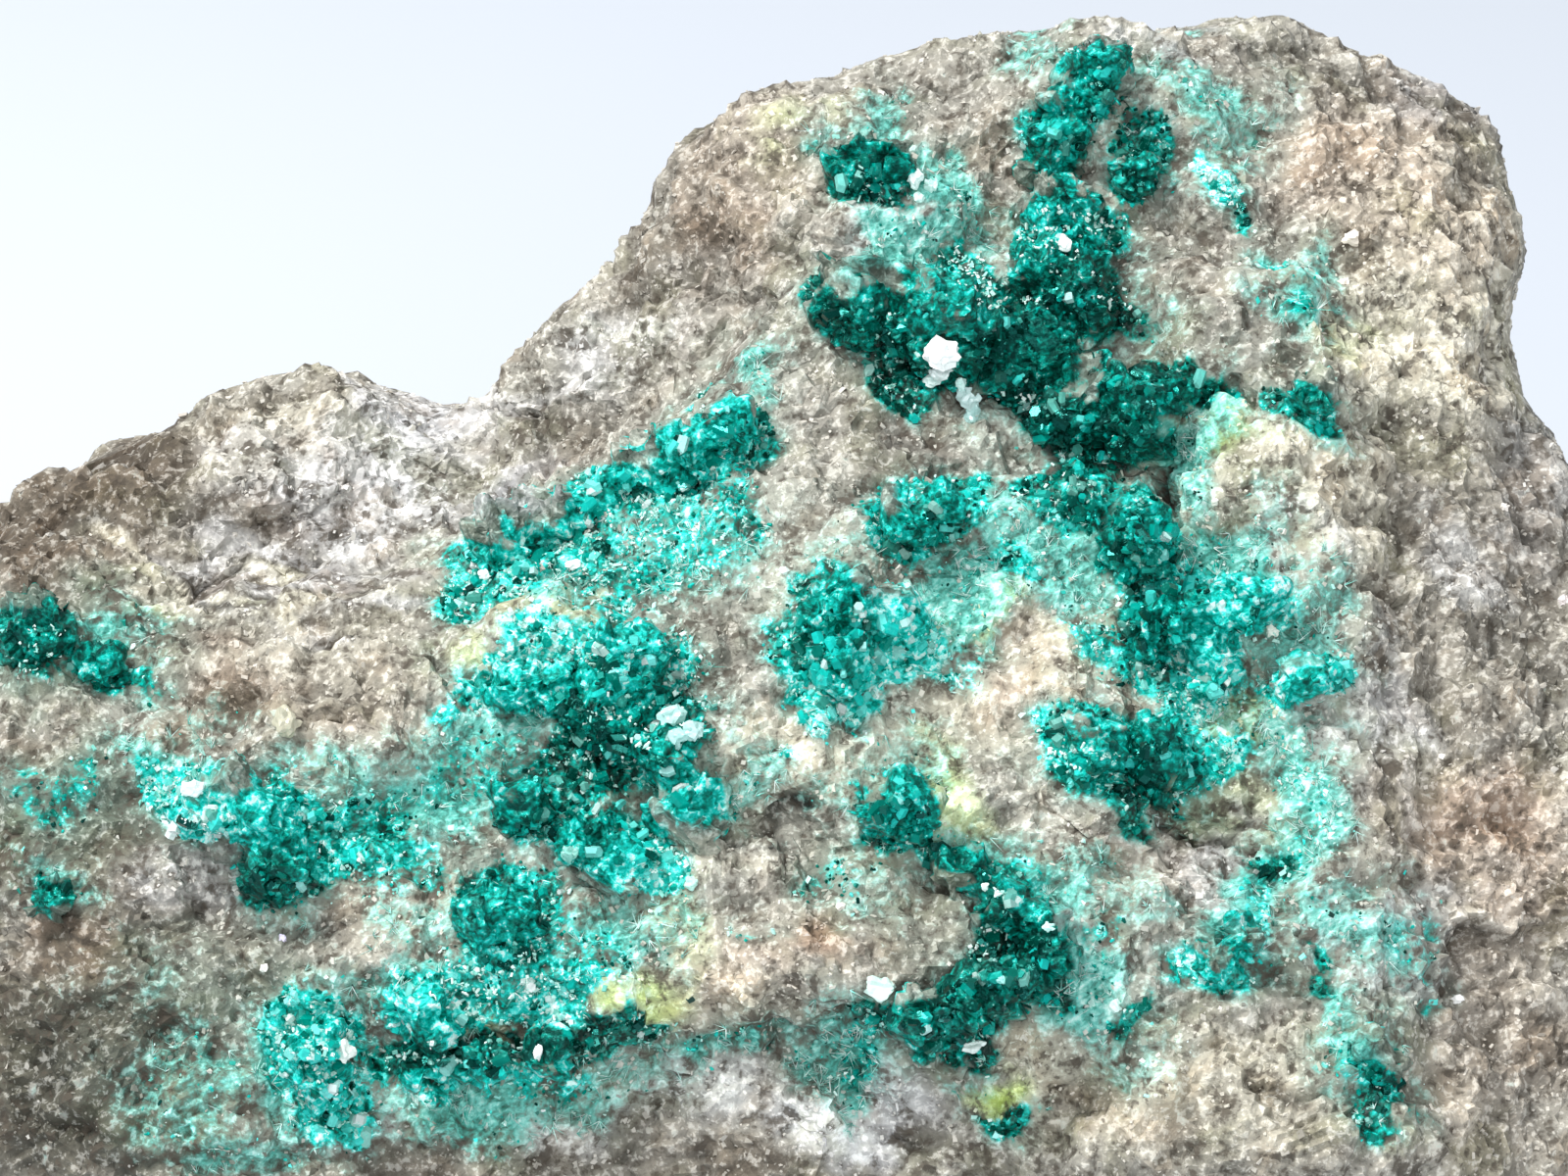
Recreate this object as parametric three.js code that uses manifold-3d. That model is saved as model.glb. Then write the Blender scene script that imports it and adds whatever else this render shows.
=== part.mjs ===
// Dioptase specimen: a broken lump of granular rock whose sloping front carries patches of emerald
// dioptase crystals. Millimetres, +Z up. The crystal-bearing face looks towards -Y, and the origin is the
// middle of the flat base.
import * as THREE from "three";
import { ImprovedNoise } from "three/addons/math/ImprovedNoise.js";
import { mergeVertices } from "three/addons/utils/BufferGeometryUtils.js";
import Module from "manifold-3d";

const wasm = await Module();
wasm.setup();

// Driving dimensions. The outline and the crystals are laid out on a plane that leans back by layoutTilt:
// "across" is +X, "up" runs up that plane and "out" points away from the rock, towards an eye.
const layoutTilt = THREE.MathUtils.degToRad(25);
const eyeDistance = 300;
const rimMiddle = { across: -1, up: -6 };
const rimDepth = -4;
const faceLean = 0.32; // how far the face comes forward for each millimetre down it
const frontBulge = 9.5;
const backBulge = 25;
const baseHeight = -20.5;
const rockDetail = 15;
const frontBias = 0.42;
const lumpSize = 12;
const lumpHeight = 0.9;
const chipSize = 7.5;
const chipTilt = 0.13;
const chipStep = 0.25;
const rimCalm = 0.75; // share of the roughness left out along the rim, which keeps its own outline
const contactGap = 0.3;
const crystalSink = 0.55; // share of its radius by which a crystal is rooted below the rock's surface
const crumbVolume = 0.6; // cubic millimetres
const rhombSlope = 1.23; // slope of dioptase's three end faces, tan 51 degrees

const rockColour = "#8d8478";
const dioptaseColour = "#04705f";
const paleDioptaseColour = "#3fb5a5";

// The rock's rim on the layout plane, clockwise from the left end: [across, up].
const rimOutline = [
  [-38.5, -3],
  [-32, 3],
  [-27.8, 5.6],
  [-25, 6.4],
  [-23.8, 7.6],
  [-20, 8.6],
  [-17.9, 8.8],
  [-17.2, 7.7],
  [-12.4, 7.6],
  [-10.2, 10.4],
  [-6.4, 13.5],
  [-5.5, 16.2],
  [-4.1, 18.4],
  [0.8, 20.2],
  [7.4, 22],
  [10.4, 22.5],
  [13.4, 22.2],
  [19.6, 23],
  [22.5, 21.8],
  [26, 21],
  [28.8, 19.2],
  [29.8, 16.4],
  [30.1, 14],
  [29.5, 9.2],
  [31.2, 6],
  [33.5, 1],
  [36.5, -7],
  [37, -15],
  [35, -25],
  [26, -33],
  [8, -35],
  [-12, -35],
  [-28, -33],
  [-38, -25],
  [-40.5, -15],
  [-40.5, -8],
];

// Broken faces on the sides and back: outward normal, and how far each lies from the lump's middle.
const fractures = [
  { normal: [0.1, 0.97, -0.05], reach: 22 },
  { normal: [0.62, 0.74, -0.1], reach: 30 },
  { normal: [-0.62, 0.76, 0.1], reach: 27 },
  { normal: [-0.42, 0.5, 0.76], reach: 20.5 },
  { normal: [0.94, 0.05, -0.33], reach: 36 },
  { normal: [-0.93, -0.1, -0.35], reach: 38.5 },
  { normal: [-0.05, -0.86, -0.5], reach: 30.5 },
];

// Lumps and hollows of the front face: place on the layout plane, size, turn in degrees and height.
const mounds = [
  { name: "head left", at: [0, 12.5], size: [5.5, 6], turn: 0, height: 1.6 },
  { name: "head right", at: [23.5, 15], size: [6, 5.5], turn: 0, height: 2.4 },
  { name: "crystal channel", at: [12, 15], size: [4, 8], turn: 0, height: -1.2 },
  { name: "heart hollow", at: [13.5, 7.2], size: [5.5, 2.6], turn: -12, height: -3 },
  { name: "pale lobe", at: [17.6, 5.6], size: [2.2, 1.9], turn: 20, height: 2 },
  { name: "left hump", at: [-21, 5], size: [6.5, 3.6], turn: 5, height: 3 },
  { name: "saddle", at: [-13.5, 6], size: [3.4, 3.2], turn: 0, height: -3 },
  { name: "pebble", at: [-17.5, -6], size: [3.6, 1.8], turn: 20, height: 1.4 },
  { name: "middle swell", at: [-2, -1.5], size: [5, 4], turn: 0, height: 1.2 },
  { name: "shadow hole", at: [-0.6, -9.6], size: [1.5, 0.9], turn: 0, height: -1.8 },
  { name: "lower swell", at: [1, -14.5], size: [6.5, 3], turn: 0, height: 1.8 },
  { name: "right swell", at: [30, -8], size: [4.5, 8], turn: 10, height: 1.6 },
  { name: "foot swell", at: [18, -23.5], size: [10, 3.6], turn: 8, height: 1.8 },
  { name: "left foot swell", at: [-27, -19], size: [6, 5], turn: 0, height: 1.8 },
];

// Ledges: along the line, the side to its left stands back by drop, over a band of the given width.
const ledges = [
  {
    name: "crest",
    line: [
      [-31, 1],
      [-22.8, -0.4],
      [-14.5, 1],
      [-9.6, 3.3],
      [-4, 6.6],
      [-1, 10.5],
    ],
    drop: 4.5,
    width: 1.2,
  },
  {
    name: "shelf",
    line: [
      [20, 11.5],
      [23, 9.7],
      [31, 8.8],
    ],
    drop: 2.6,
    width: 1.2,
  },
  {
    name: "right edge",
    line: [
      [25.2, -18],
      [26.4, -8],
      [25.4, 0],
      [23.6, 6.5],
    ],
    drop: -3.2,
    width: 9,
  },
];

// Narrow grooves and cracks: the line, its half-width and depth.
const grooves = [
  {
    name: "lower groove",
    line: [
      [-17.5, -20.6],
      [-8, -19.4],
      [2, -18.6],
      [12, -19.6],
      [21, -17],
    ],
    width: 1.4,
    depth: 0.8,
  },
  {
    name: "right crack",
    line: [
      [24.6, 3],
      [25.6, -3],
      [25.8, -9],
    ],
    width: 0.9,
    depth: 1.1,
  },
  {
    name: "middle crack",
    line: [
      [10, -9.5],
      [14, -10.3],
      [19, -9.3],
    ],
    width: 0.9,
    depth: 1.3,
  },
];

// Crystal patches. Each node's patches are ovals of intergrown crystals: [across, up, half-length,
// half-width, turn in degrees], with how many crystals each holds and the crystals' radius.
const clusters = [
  { name: "dioptase_crown", radius: 1.35, patches: [[12.5, 20, 0.9, 0.7, 0, 2]] },
  { name: "dioptase_right_bead", radius: 1.6, patches: [[14.7, 17.1, 0.3, 0.5, 0, 1]] },
  { name: "dioptase_left_eye", radius: 1.5, patches: [[3.5, 16.6, 1, 0.8, 20, 2]] },
  {
    name: "dioptase_heart",
    radius: 1.75,
    patches: [
      [10.9, 17.6, 0.3, 0.3, 0, 1],
      [11.4, 15, 0.4, 0.4, 0, 1],
      [11.7, 12.2, 1.6, 1, 0, 4],
      [11.6, 9.6, 0.4, 0.4, 0, 1],
      [3, 11, 0.4, 0.4, 0, 1],
      [5.6, 10, 1.1, 1, 0, 2],
      [8.9, 8.2, 1.6, 0.8, -15, 3],
      [12.6, 6.4, 2.2, 1.2, -10, 4],
      [15.8, 7.4, 0.4, 0.3, 15, 1],
    ],
  },
  { name: "dioptase_spark", radius: 1, pale: true, patches: [[18, 16, 0.3, 0.3, 0, 1]] },
  { name: "dioptase_ear", radius: 1.15, patches: [[21.3, 7.6, 0.3, 0.3, 0, 1]] },
  {
    name: "dioptase_crest",
    radius: 1.4,
    patches: [
      [-2.2, 6.2, 0.5, 0.6, -20, 1],
      [-4.4, 4.6, 1.3, 0.4, 33, 2],
      [-7.6, 3, 1.4, 0.4, 27, 2],
      [-10.6, 1.5, 1.2, 0.4, 25, 2],
    ],
  },
  {
    name: "dioptase_middle_left",
    radius: 1.6,
    patches: [
      [-6.2, -2.8, 0.5, 0.4, 0, 1],
      [-6.8, -5.2, 1.3, 1.1, 0, 3],
      [-4.2, -6.8, 0.3, 0.6, 0, 1],
      [-3.6, -9, 0.3, 0.3, 0, 1],
    ],
  },
  { name: "dioptase_bright_wing", radius: 1.25, pale: true, patches: [[-10.9, -3.8, 1.3, 0.5, -5, 2]] },
  { name: "dioptase_centre", radius: 1.3, patches: [[5.8, 2.7, 1.2, 0.4, 15, 2]] },
  {
    name: "dioptase_centre_left",
    radius: 1.5,
    patches: [
      [2.2, -1.6, 0.9, 0.9, 0, 2],
      [4.9, -1.9, 0.4, 0.4, 0, 1],
      [2.6, -3.8, 0.4, 0.3, 0, 1],
    ],
  },
  {
    name: "dioptase_centre_right",
    radius: 1.5,
    patches: [
      [14.6, 1.3, 0.8, 0.9, 20, 2],
      [15.6, -1.5, 1, 0.7, 0, 2],
      [18.4, -0.9, 0.9, 0.6, 0, 2],
      [17.4, -3.3, 0.4, 0.3, 0, 1],
    ],
  },
  { name: "dioptase_blade", radius: 1.1, patches: [[21.8, -3.6, 0.8, 0.2, 18, 2]] },
  {
    name: "dioptase_lower_right",
    radius: 1.45,
    patches: [
      [12.7, -6.8, 0.4, 0.3, 0, 1],
      [15.2, -7.3, 1, 0.7, 0, 3],
    ],
  },
  { name: "dioptase_green_lobe", radius: 1.5, patches: [[5, -9.2, 0.6, 0.8, -15, 2]] },
  {
    name: "dioptase_hook",
    radius: 1.4,
    patches: [
      [6.8, -11.5, 0.5, 0.2, -25, 1],
      [8.8, -12.8, 0.4, 0.3, -35, 1],
      [10.1, -14.6, 0.8, 0.8, 0, 2],
      [8.3, -16.6, 1.1, 0.5, 10, 2],
      [5.6, -17.4, 0.8, 0.3, 10, 2],
    ],
  },
  { name: "dioptase_slope", radius: 1.15, pale: true, patches: [[17.6, -15.4, 1.3, 0.4, 35, 2]] },
  { name: "dioptase_foot", radius: 1.25, pale: true, patches: [[23.9, -19.6, 0.6, 0.7, 0, 2]] },
  {
    name: "dioptase_left_edge",
    radius: 1.3,
    patches: [
      [-30.6, -2.3, 1.5, 0.5, 0, 3],
      [-27.8, -3.2, 0.4, 0.3, -15, 1],
    ],
  },
  {
    name: "dioptase_left_patch",
    radius: 1.4,
    patches: [
      [-23.1, -8.8, 1, 0.5, -10, 2],
      [-20.5, -9.6, 0.5, 0.4, 0, 1],
      [-20.6, -11.6, 0.4, 0.3, 0, 1],
    ],
  },
  { name: "dioptase_left_grain", radius: 1.05, patches: [[-29.6, -12.6, 0.3, 0.2, 0, 1]] },
  {
    name: "dioptase_lower_middle",
    radius: 1.35,
    patches: [
      [-10.3, -9.6, 0.5, 0.3, -15, 1],
      [-8.2, -10.5, 0.4, 0.3, -25, 1],
      [-6.2, -11.5, 0.8, 0.4, -25, 2],
    ],
  },
  { name: "dioptase_lower_left", radius: 1.55, patches: [[-11.6, -13.6, 1.2, 0.6, 0, 2]] },
  {
    name: "dioptase_low_band",
    radius: 1.3,
    patches: [
      [-14.4, -17.4, 0.9, 0.5, 0, 2],
      [-14.6, -19.2, 0.5, 0.3, 0, 1],
      [-12, -19.4, 0.6, 0.2, 8, 1],
      [-9.8, -18.7, 0.6, 0.2, 8, 1],
    ],
  },
  { name: "dioptase_low_bright", radius: 1.25, pale: true, patches: [[-19, -19.2, 0.6, 1.5, 20, 3]] },
];

const noise = new ImprovedNoise();

const across = new THREE.Vector3(1, 0, 0);
const up = new THREE.Vector3(0, Math.sin(layoutTilt), Math.cos(layoutTilt));
const out = new THREE.Vector3(0, -Math.cos(layoutTilt), Math.sin(layoutTilt));

// A point of the layout, with its distance out of the layout plane, in the specimen's frame.
function placed(a, b, c) {
  return new THREE.Vector3()
    .addScaledVector(across, a)
    .addScaledVector(up, b)
    .addScaledVector(out, c);
}

// The rim's distance from its middle in every direction, read off a smooth closed curve.
function rimReach() {
  const points = rimOutline.map(([a, b]) => new THREE.Vector3(a, b, 0));
  const curve = new THREE.CatmullRomCurve3(points, true, "centripetal");
  const samples = curve.getPoints(720).map((p) => {
    const farther = 1 - (rimDepth - faceLean * p.y) / eyeDistance;
    const a = p.x * farther - rimMiddle.across;
    const b = p.y * farther - rimMiddle.up;
    return { angle: Math.atan2(b, a), reach: Math.hypot(a, b) };
  });
  samples.sort((p, q) => p.angle - q.angle);
  return (angle) => {
    const after = samples.findIndex((s) => s.angle >= angle);
    if (after <= 0) return samples[0].reach;
    const before = samples[after - 1];
    const gap = samples[after].angle - before.angle || 1;
    const share = (angle - before.angle) / gap;
    return THREE.MathUtils.lerp(before.reach, samples[after].reach, share);
  };
}

// How far a point is from a line of several points, on which side of it (left is positive), and whether it
// lies past either end.
function beside(line, a, b) {
  let best = { distance: Infinity, side: 1, past: 0 };
  for (let i = 0; i + 1 < line.length; i++) {
    const [a0, b0] = line[i];
    const [a1, b1] = line[i + 1];
    const length = Math.hypot(a1 - a0, b1 - b0);
    const [ua, ub] = [(a1 - a0) / length, (b1 - b0) / length];
    const along = (a - a0) * ua + (b - b0) * ub;
    const held = THREE.MathUtils.clamp(along, 0, length);
    const distance = Math.hypot(a - a0 - held * ua, b - b0 - held * ub);
    if (distance < best.distance) {
      const first = i === 0 && along < 0;
      const last = i + 2 === line.length && along > length;
      const past = first ? -along : last ? along - length : 0;
      best = { distance, side: Math.sign(ua * (b - b0) - ub * (a - a0)) || 1, past };
    }
  }
  return best;
}

// The height of the front face's mounds, ledges and grooves above its general slope.
function relief(a, b) {
  let height = 0;
  for (const { at, size, turn, height: peak } of mounds) {
    const angle = THREE.MathUtils.degToRad(turn);
    const [da, db] = [a - at[0], b - at[1]];
    const along = (da * Math.cos(angle) + db * Math.sin(angle)) / size[0];
    const aside = (db * Math.cos(angle) - da * Math.sin(angle)) / size[1];
    height += peak * Math.exp(-along * along - aside * aside);
  }
  for (const { line, drop, width } of ledges) {
    const { distance, side, past } = beside(line, a, b);
    const back = THREE.MathUtils.smoothstep(side * distance, -width / 2, width / 2);
    height -= drop * back * Math.exp(-((past / 5) ** 2));
  }
  for (const { line, width, depth } of grooves) {
    const { distance } = beside(line, a, b);
    height -= depth * Math.exp(-((distance / width) ** 2));
  }
  return height;
}

// A repeatable random number from -1 to 1 for a cell of a grid.
function cellValue(cell, k) {
  const mixed = Math.sin(cell.x * 127.1 + cell.y * 311.7 + cell.z * 74.7 + k * 41.3) * 43758.5453;
  return 2 * (mixed - Math.floor(mixed)) - 1;
}

// The rock breaks in flat chips: round the middle of each cell of a loose grid, the surface lies on a face
// with a tilt and a step of its own.
function chipHeight(p) {
  const home = p.clone().divideScalar(chipSize).floor();
  let [nearest, height] = [Infinity, 0];
  for (let k = 0; k < 27; k++) {
    const step = new THREE.Vector3((k % 3) - 1, (Math.floor(k / 3) % 3) - 1, Math.floor(k / 9) - 1);
    const cell = home.clone().add(step);
    const jitter = new THREE.Vector3(cellValue(cell, 1), cellValue(cell, 2), cellValue(cell, 3));
    const offset = cell.addScalar(0.5).addScaledVector(jitter, 0.4).multiplyScalar(chipSize).sub(p);
    if (offset.length() > nearest) continue;
    nearest = offset.length();
    const tilt = jitter.clone().cross(new THREE.Vector3(1, 2, 3)).normalize().multiplyScalar(chipTilt);
    height = tilt.dot(offset) + chipStep * cellValue(step.add(home), 4);
  }
  return height;
}

function roughness(p) {
  const lump = noise.noise(p.x / lumpSize + 7, p.y / lumpSize + 3, p.z / lumpSize + 11);
  return lumpHeight * lump * 1.6 + chipHeight(p);
}

// Pulls a point back to each broken face that it stands out of, leaving a little of its own shape.
function broken(p) {
  const kept = 0.12;
  for (const { normal, reach } of fractures) {
    const face = new THREE.Vector3(...normal).normalize();
    const over = p.dot(face) - reach;
    if (over > 0) p.addScaledVector(face, -over * (1 - kept));
  }
  return p;
}

// The whole lump before its base is cut: a sphere of points carried to the rim, the front and the back.
function lumpGeometry() {
  const sphere = new THREE.IcosahedronGeometry(1, rockDetail);
  sphere.deleteAttribute("normal");
  sphere.deleteAttribute("uv");
  const geometry = mergeVertices(sphere, 1e-5);
  const reachAt = rimReach();
  const position = geometry.attributes.position;
  for (let i = 0; i < position.count; i++) {
    const n = new THREE.Vector3().fromBufferAttribute(position, i);
    const polar = Math.acos(THREE.MathUtils.clamp(n.z, -1, 1));
    const turned = polar - frontBias * Math.sin(polar);
    const facing = Math.cos(turned);
    const reach = Math.sin(turned) * reachAt(Math.atan2(n.y, n.x));
    const around = Math.atan2(n.y, n.x);
    const a = rimMiddle.across + reach * Math.cos(around);
    const b = rimMiddle.up + reach * Math.sin(around);
    const rim = rimDepth - faceLean * b;
    const rise = Math.sqrt(Math.abs(facing));
    const c = facing >= 0 ? rim + rise * (frontBulge + relief(a, b)) : rim - rise ** 1.5 * backBulge;
    const p = broken(placed(a, b, c));
    position.setXYZ(i, p.x, p.y, p.z);
  }
  geometry.computeVertexNormals();
  const normal = geometry.attributes.normal;
  for (let i = 0; i < position.count; i++) {
    const p = new THREE.Vector3().fromBufferAttribute(position, i);
    const n = new THREE.Vector3().fromBufferAttribute(normal, i);
    const calm = 1 - rimCalm * Math.exp(-((n.dot(out) / 0.4) ** 2));
    p.addScaledVector(n, calm * roughness(p));
    position.setXYZ(i, p.x, p.y, p.z);
  }
  geometry.computeVertexNormals();
  return geometry;
}

// The same lump with its surface moved out, to keep the crystals clear of the rock.
function swollen(geometry, by) {
  const grown = geometry.clone();
  const { position, normal } = grown.attributes;
  for (let i = 0; i < position.count; i++) {
    const p = new THREE.Vector3().fromBufferAttribute(position, i);
    p.addScaledVector(new THREE.Vector3().fromBufferAttribute(normal, i), by);
    position.setXYZ(i, p.x, p.y, p.z);
  }
  return grown;
}

function solidOf(geometry) {
  const bare = new THREE.BufferGeometry();
  bare.setAttribute("position", geometry.attributes.position.clone());
  bare.setIndex(geometry.index);
  const merged = mergeVertices(bare, 1e-4);
  const mesh = new wasm.Mesh({
    numProp: 3,
    vertProperties: merged.attributes.position.array,
    triVerts: new Uint32Array(merged.index.array),
  });
  return new wasm.Manifold(mesh);
}

function geometryOf(solid) {
  const { vertProperties, triVerts } = solid.getMesh();
  const geometry = new THREE.BufferGeometry();
  geometry.setAttribute("position", new THREE.BufferAttribute(vertProperties, 3));
  geometry.setIndex(new THREE.BufferAttribute(triVerts, 1));
  geometry.computeVertexNormals();
  return geometry;
}

// A block that holds everything under the base.
function groundBlock(top) {
  const side = 200;
  const block = new THREE.BoxGeometry(side, side, side);
  block.translate(0, 0, top - side / 2);
  return solidOf(block);
}

// A six-sided prism whose free end has dioptase's three rhomb faces, standing on the origin along +Z.
function crystalGeometry(radius, length) {
  const prism = new THREE.CylinderGeometry(radius, radius * 0.94, length, 6, 1);
  prism.rotateX(Math.PI / 2);
  prism.translate(0, 0, length / 2);
  const { position } = prism.attributes;
  for (let i = 0; i < position.count; i++) {
    const p = new THREE.Vector3().fromBufferAttribute(position, i);
    if (p.z < length * 0.5) continue;
    const edge = Math.round((Math.atan2(p.y, p.x) / Math.PI) * 3 + 1.5);
    const reach = Math.hypot(p.x, p.y) < radius / 2 ? 0 : edge % 2 ? 1 : 0.5;
    position.setZ(i, length - rhombSlope * radius * (reach - 0.5));
  }
  return prism;
}

const lump = lumpGeometry();
const lumpMesh = new THREE.Mesh(lump);
lumpMesh.updateMatrixWorld();
const eye = placed(0, 0, eyeDistance);
const caster = new THREE.Raycaster();

// The rock's surface as the eye sees it at a place of the layout: the point, and a normal averaged over a
// small ring, so that one facet doesn't tilt a whole crystal.
function surfaceAt(a, b) {
  const ring = 0.9;
  const offsets = [
    [0, 0],
    [ring, 0],
    [0, ring],
    [-ring, 0],
    [0, -ring],
  ];
  const hits = offsets.map(([da, db]) => {
    const towards = placed(a + da, b + db, 0).sub(eye).normalize();
    caster.set(eye, towards);
    return caster.intersectObject(lumpMesh)[0];
  });
  if (!hits[0]) throw new Error(`the eye sees no rock at ${a.toFixed(1)}, ${b.toFixed(1)}`);
  const seen = hits.filter(Boolean);
  const normal = seen.reduce((sum, hit) => sum.add(hit.face.normal), new THREE.Vector3()).normalize();
  return { point: hits[0].point, normal };
}

// One patch: crystals set in a spiral over an oval, each leaning its own way and rooted in the rock.
function patchCrystals([a, b, halfLength, halfWidth, turn, count], radius) {
  const golden = Math.PI * (3 - Math.sqrt(5));
  const seed = 11 * a + 7 * b;
  const angle = THREE.MathUtils.degToRad(turn);
  return Array.from({ length: count }, (_, i) => {
    const wobble = (k) => noise.noise(seed * 3.7 + i * 1.31, k * 5.17, 0.5) * 1.4;
    const spread = Math.sqrt((i + 0.4) / count);
    const along = spread * halfLength * Math.cos(i * golden + seed);
    const aside = spread * halfWidth * Math.sin(i * golden + seed);
    const { point, normal } = surfaceAt(
      a + along * Math.cos(angle) - aside * Math.sin(angle),
      b + along * Math.sin(angle) + aside * Math.cos(angle),
    );
    const size = radius * (1 + 0.28 * wobble(1));
    const length = size * (1.9 + 0.5 * wobble(2));
    const lean = new THREE.Vector3(wobble(3), wobble(4), wobble(5)).multiplyScalar(0.55);
    const axis = normal.clone().add(lean).normalize();
    const crystal = crystalGeometry(size, length);
    crystal.rotateZ(wobble(6) * Math.PI);
    crystal.applyQuaternion(new THREE.Quaternion().setFromUnitVectors(new THREE.Vector3(0, 0, 1), axis));
    crystal.translate(...point.clone().addScaledVector(axis, -crystalSink * size));
    return solidOf(crystal);
  });
}

// All the crystals grown together where they meet, cut clear of the rock and taken apart into the bodies
// that remain. Crumbs that the cut leaves are dropped.
function crystalBodies() {
  const crystals = clusters.flatMap(({ patches, radius }) =>
    patches.flatMap((patch) => patchCrystals(patch, radius)),
  );
  const rock = solidOf(swollen(lump, contactGap));
  const grown = crystals.reduce((sum, crystal) => sum.add(crystal)).subtract(rock);
  return grown.decompose().filter((body) => body.volume() > crumbVolume);
}

// The cluster that has a patch nearest to a body's middle.
function nearestCluster(middle) {
  const distance = ([a, b]) => surfaceAt(a, b).point.distanceTo(middle);
  const nearness = ({ patches }) => Math.min(...patches.map(distance));
  return clusters.reduce((best, cluster) => (nearness(cluster) < nearness(best) ? cluster : best));
}

function rockMesh() {
  const material = new THREE.MeshStandardMaterial({ color: rockColour, roughness: 0.85, metalness: 0 });
  const mesh = new THREE.Mesh(geometryOf(solidOf(lump).subtract(groundBlock(baseHeight))), material);
  mesh.name = "matrix";
  return mesh;
}

// One mesh for each body of crystals, largest first; a cluster's second body is numbered 2, and so on.
function crystalMeshes() {
  const used = new Map();
  const bodies = crystalBodies().sort((one, other) => other.volume() - one.volume());
  return bodies.map((body) => {
    const geometry = geometryOf(body);
    geometry.computeBoundingBox();
    const { name, pale } = nearestCluster(geometry.boundingBox.getCenter(new THREE.Vector3()));
    used.set(name, (used.get(name) ?? 0) + 1);
    const color = pale ? paleDioptaseColour : dioptaseColour;
    const material = new THREE.MeshStandardMaterial({ color, roughness: 0.15, metalness: 0 });
    const mesh = new THREE.Mesh(geometry, material);
    mesh.name = used.get(name) > 1 ? `${name}_${used.get(name)}` : name;
    return mesh;
  });
}

const specimen = new THREE.Group();
specimen.name = "dioptase_specimen";
specimen.add(rockMesh(), ...crystalMeshes());

// The origin is the middle of the specimen's box, on its base.
const box = new THREE.Box3().setFromObject(specimen, true);
const middle = box.getCenter(new THREE.Vector3());
specimen.children.forEach((mesh) => mesh.position.set(-middle.x, -middle.y, -box.min.z));

export default specimen;
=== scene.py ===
import math
import bpy
import bmesh
import numpy as np
from mathutils import Matrix, Vector, noise


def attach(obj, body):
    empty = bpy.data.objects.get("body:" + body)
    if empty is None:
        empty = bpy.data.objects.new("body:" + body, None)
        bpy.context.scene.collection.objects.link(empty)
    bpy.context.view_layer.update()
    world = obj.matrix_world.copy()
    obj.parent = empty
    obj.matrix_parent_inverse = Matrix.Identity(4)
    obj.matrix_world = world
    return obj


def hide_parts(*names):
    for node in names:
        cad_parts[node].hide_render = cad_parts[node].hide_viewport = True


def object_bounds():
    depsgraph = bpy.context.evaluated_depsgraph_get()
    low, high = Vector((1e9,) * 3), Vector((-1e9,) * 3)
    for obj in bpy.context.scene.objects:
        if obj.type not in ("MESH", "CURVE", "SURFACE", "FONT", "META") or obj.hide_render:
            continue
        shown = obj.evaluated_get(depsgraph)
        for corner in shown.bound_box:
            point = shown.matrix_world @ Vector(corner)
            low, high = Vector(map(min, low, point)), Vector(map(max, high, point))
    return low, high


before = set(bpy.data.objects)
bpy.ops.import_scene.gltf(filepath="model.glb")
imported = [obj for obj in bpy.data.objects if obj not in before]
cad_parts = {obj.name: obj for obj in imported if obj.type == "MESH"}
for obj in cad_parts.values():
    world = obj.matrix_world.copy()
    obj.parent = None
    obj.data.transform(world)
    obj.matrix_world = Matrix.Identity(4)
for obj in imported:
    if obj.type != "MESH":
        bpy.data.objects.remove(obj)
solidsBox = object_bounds()
mm = 0.001

# The picture: its size in pixels, how many make a millimetre, and the eye that leans over the specimen
picture = {
    "width": 1600,
    "height": 1200,
    "margin": 40,               # pixels past its edges that are still made in detail
    "pixelsPerMm": 25,
    "lean": math.radians(25),
    "eyeDistance": 300 * mm,
    "centre": (1.4607582 * mm, 0.2120314 * mm, 20.5 * mm),
    "sensor": 36,
}
centre = np.array(picture["centre"])
across = np.array((1.0, 0.0, 0.0))
upward = np.array((0.0, math.sin(picture["lean"]), math.cos(picture["lean"])))
outward = np.array((0.0, -math.cos(picture["lean"]), math.sin(picture["lean"])))
eye = centre + outward * picture["eyeDistance"]


def pixelsOf(points):
    # where points of the specimen fall in the picture
    away = points - centre
    depth = picture["eyeDistance"] / (picture["eyeDistance"] - away @ outward)
    scale = depth * picture["pixelsPerMm"] / mm
    right = picture["width"] / 2 + scale * (away @ across)
    down = picture["height"] / 2 - scale * (away @ upward)
    return np.stack((right, down), axis=1)


def unit(vectors):
    return vectors / np.linalg.norm(vectors, axis=1)[:, None]


def colour(red, green, blue):
    # a colour given in 0 to 255, as the linear numbers that shaders use
    def linear(part):
        part /= 255
        return part / 12.92 if part < 0.04045 else ((part + 0.055) / 1.055) ** 2.4
    return (linear(red), linear(green), linear(blue), 1.0)


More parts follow.
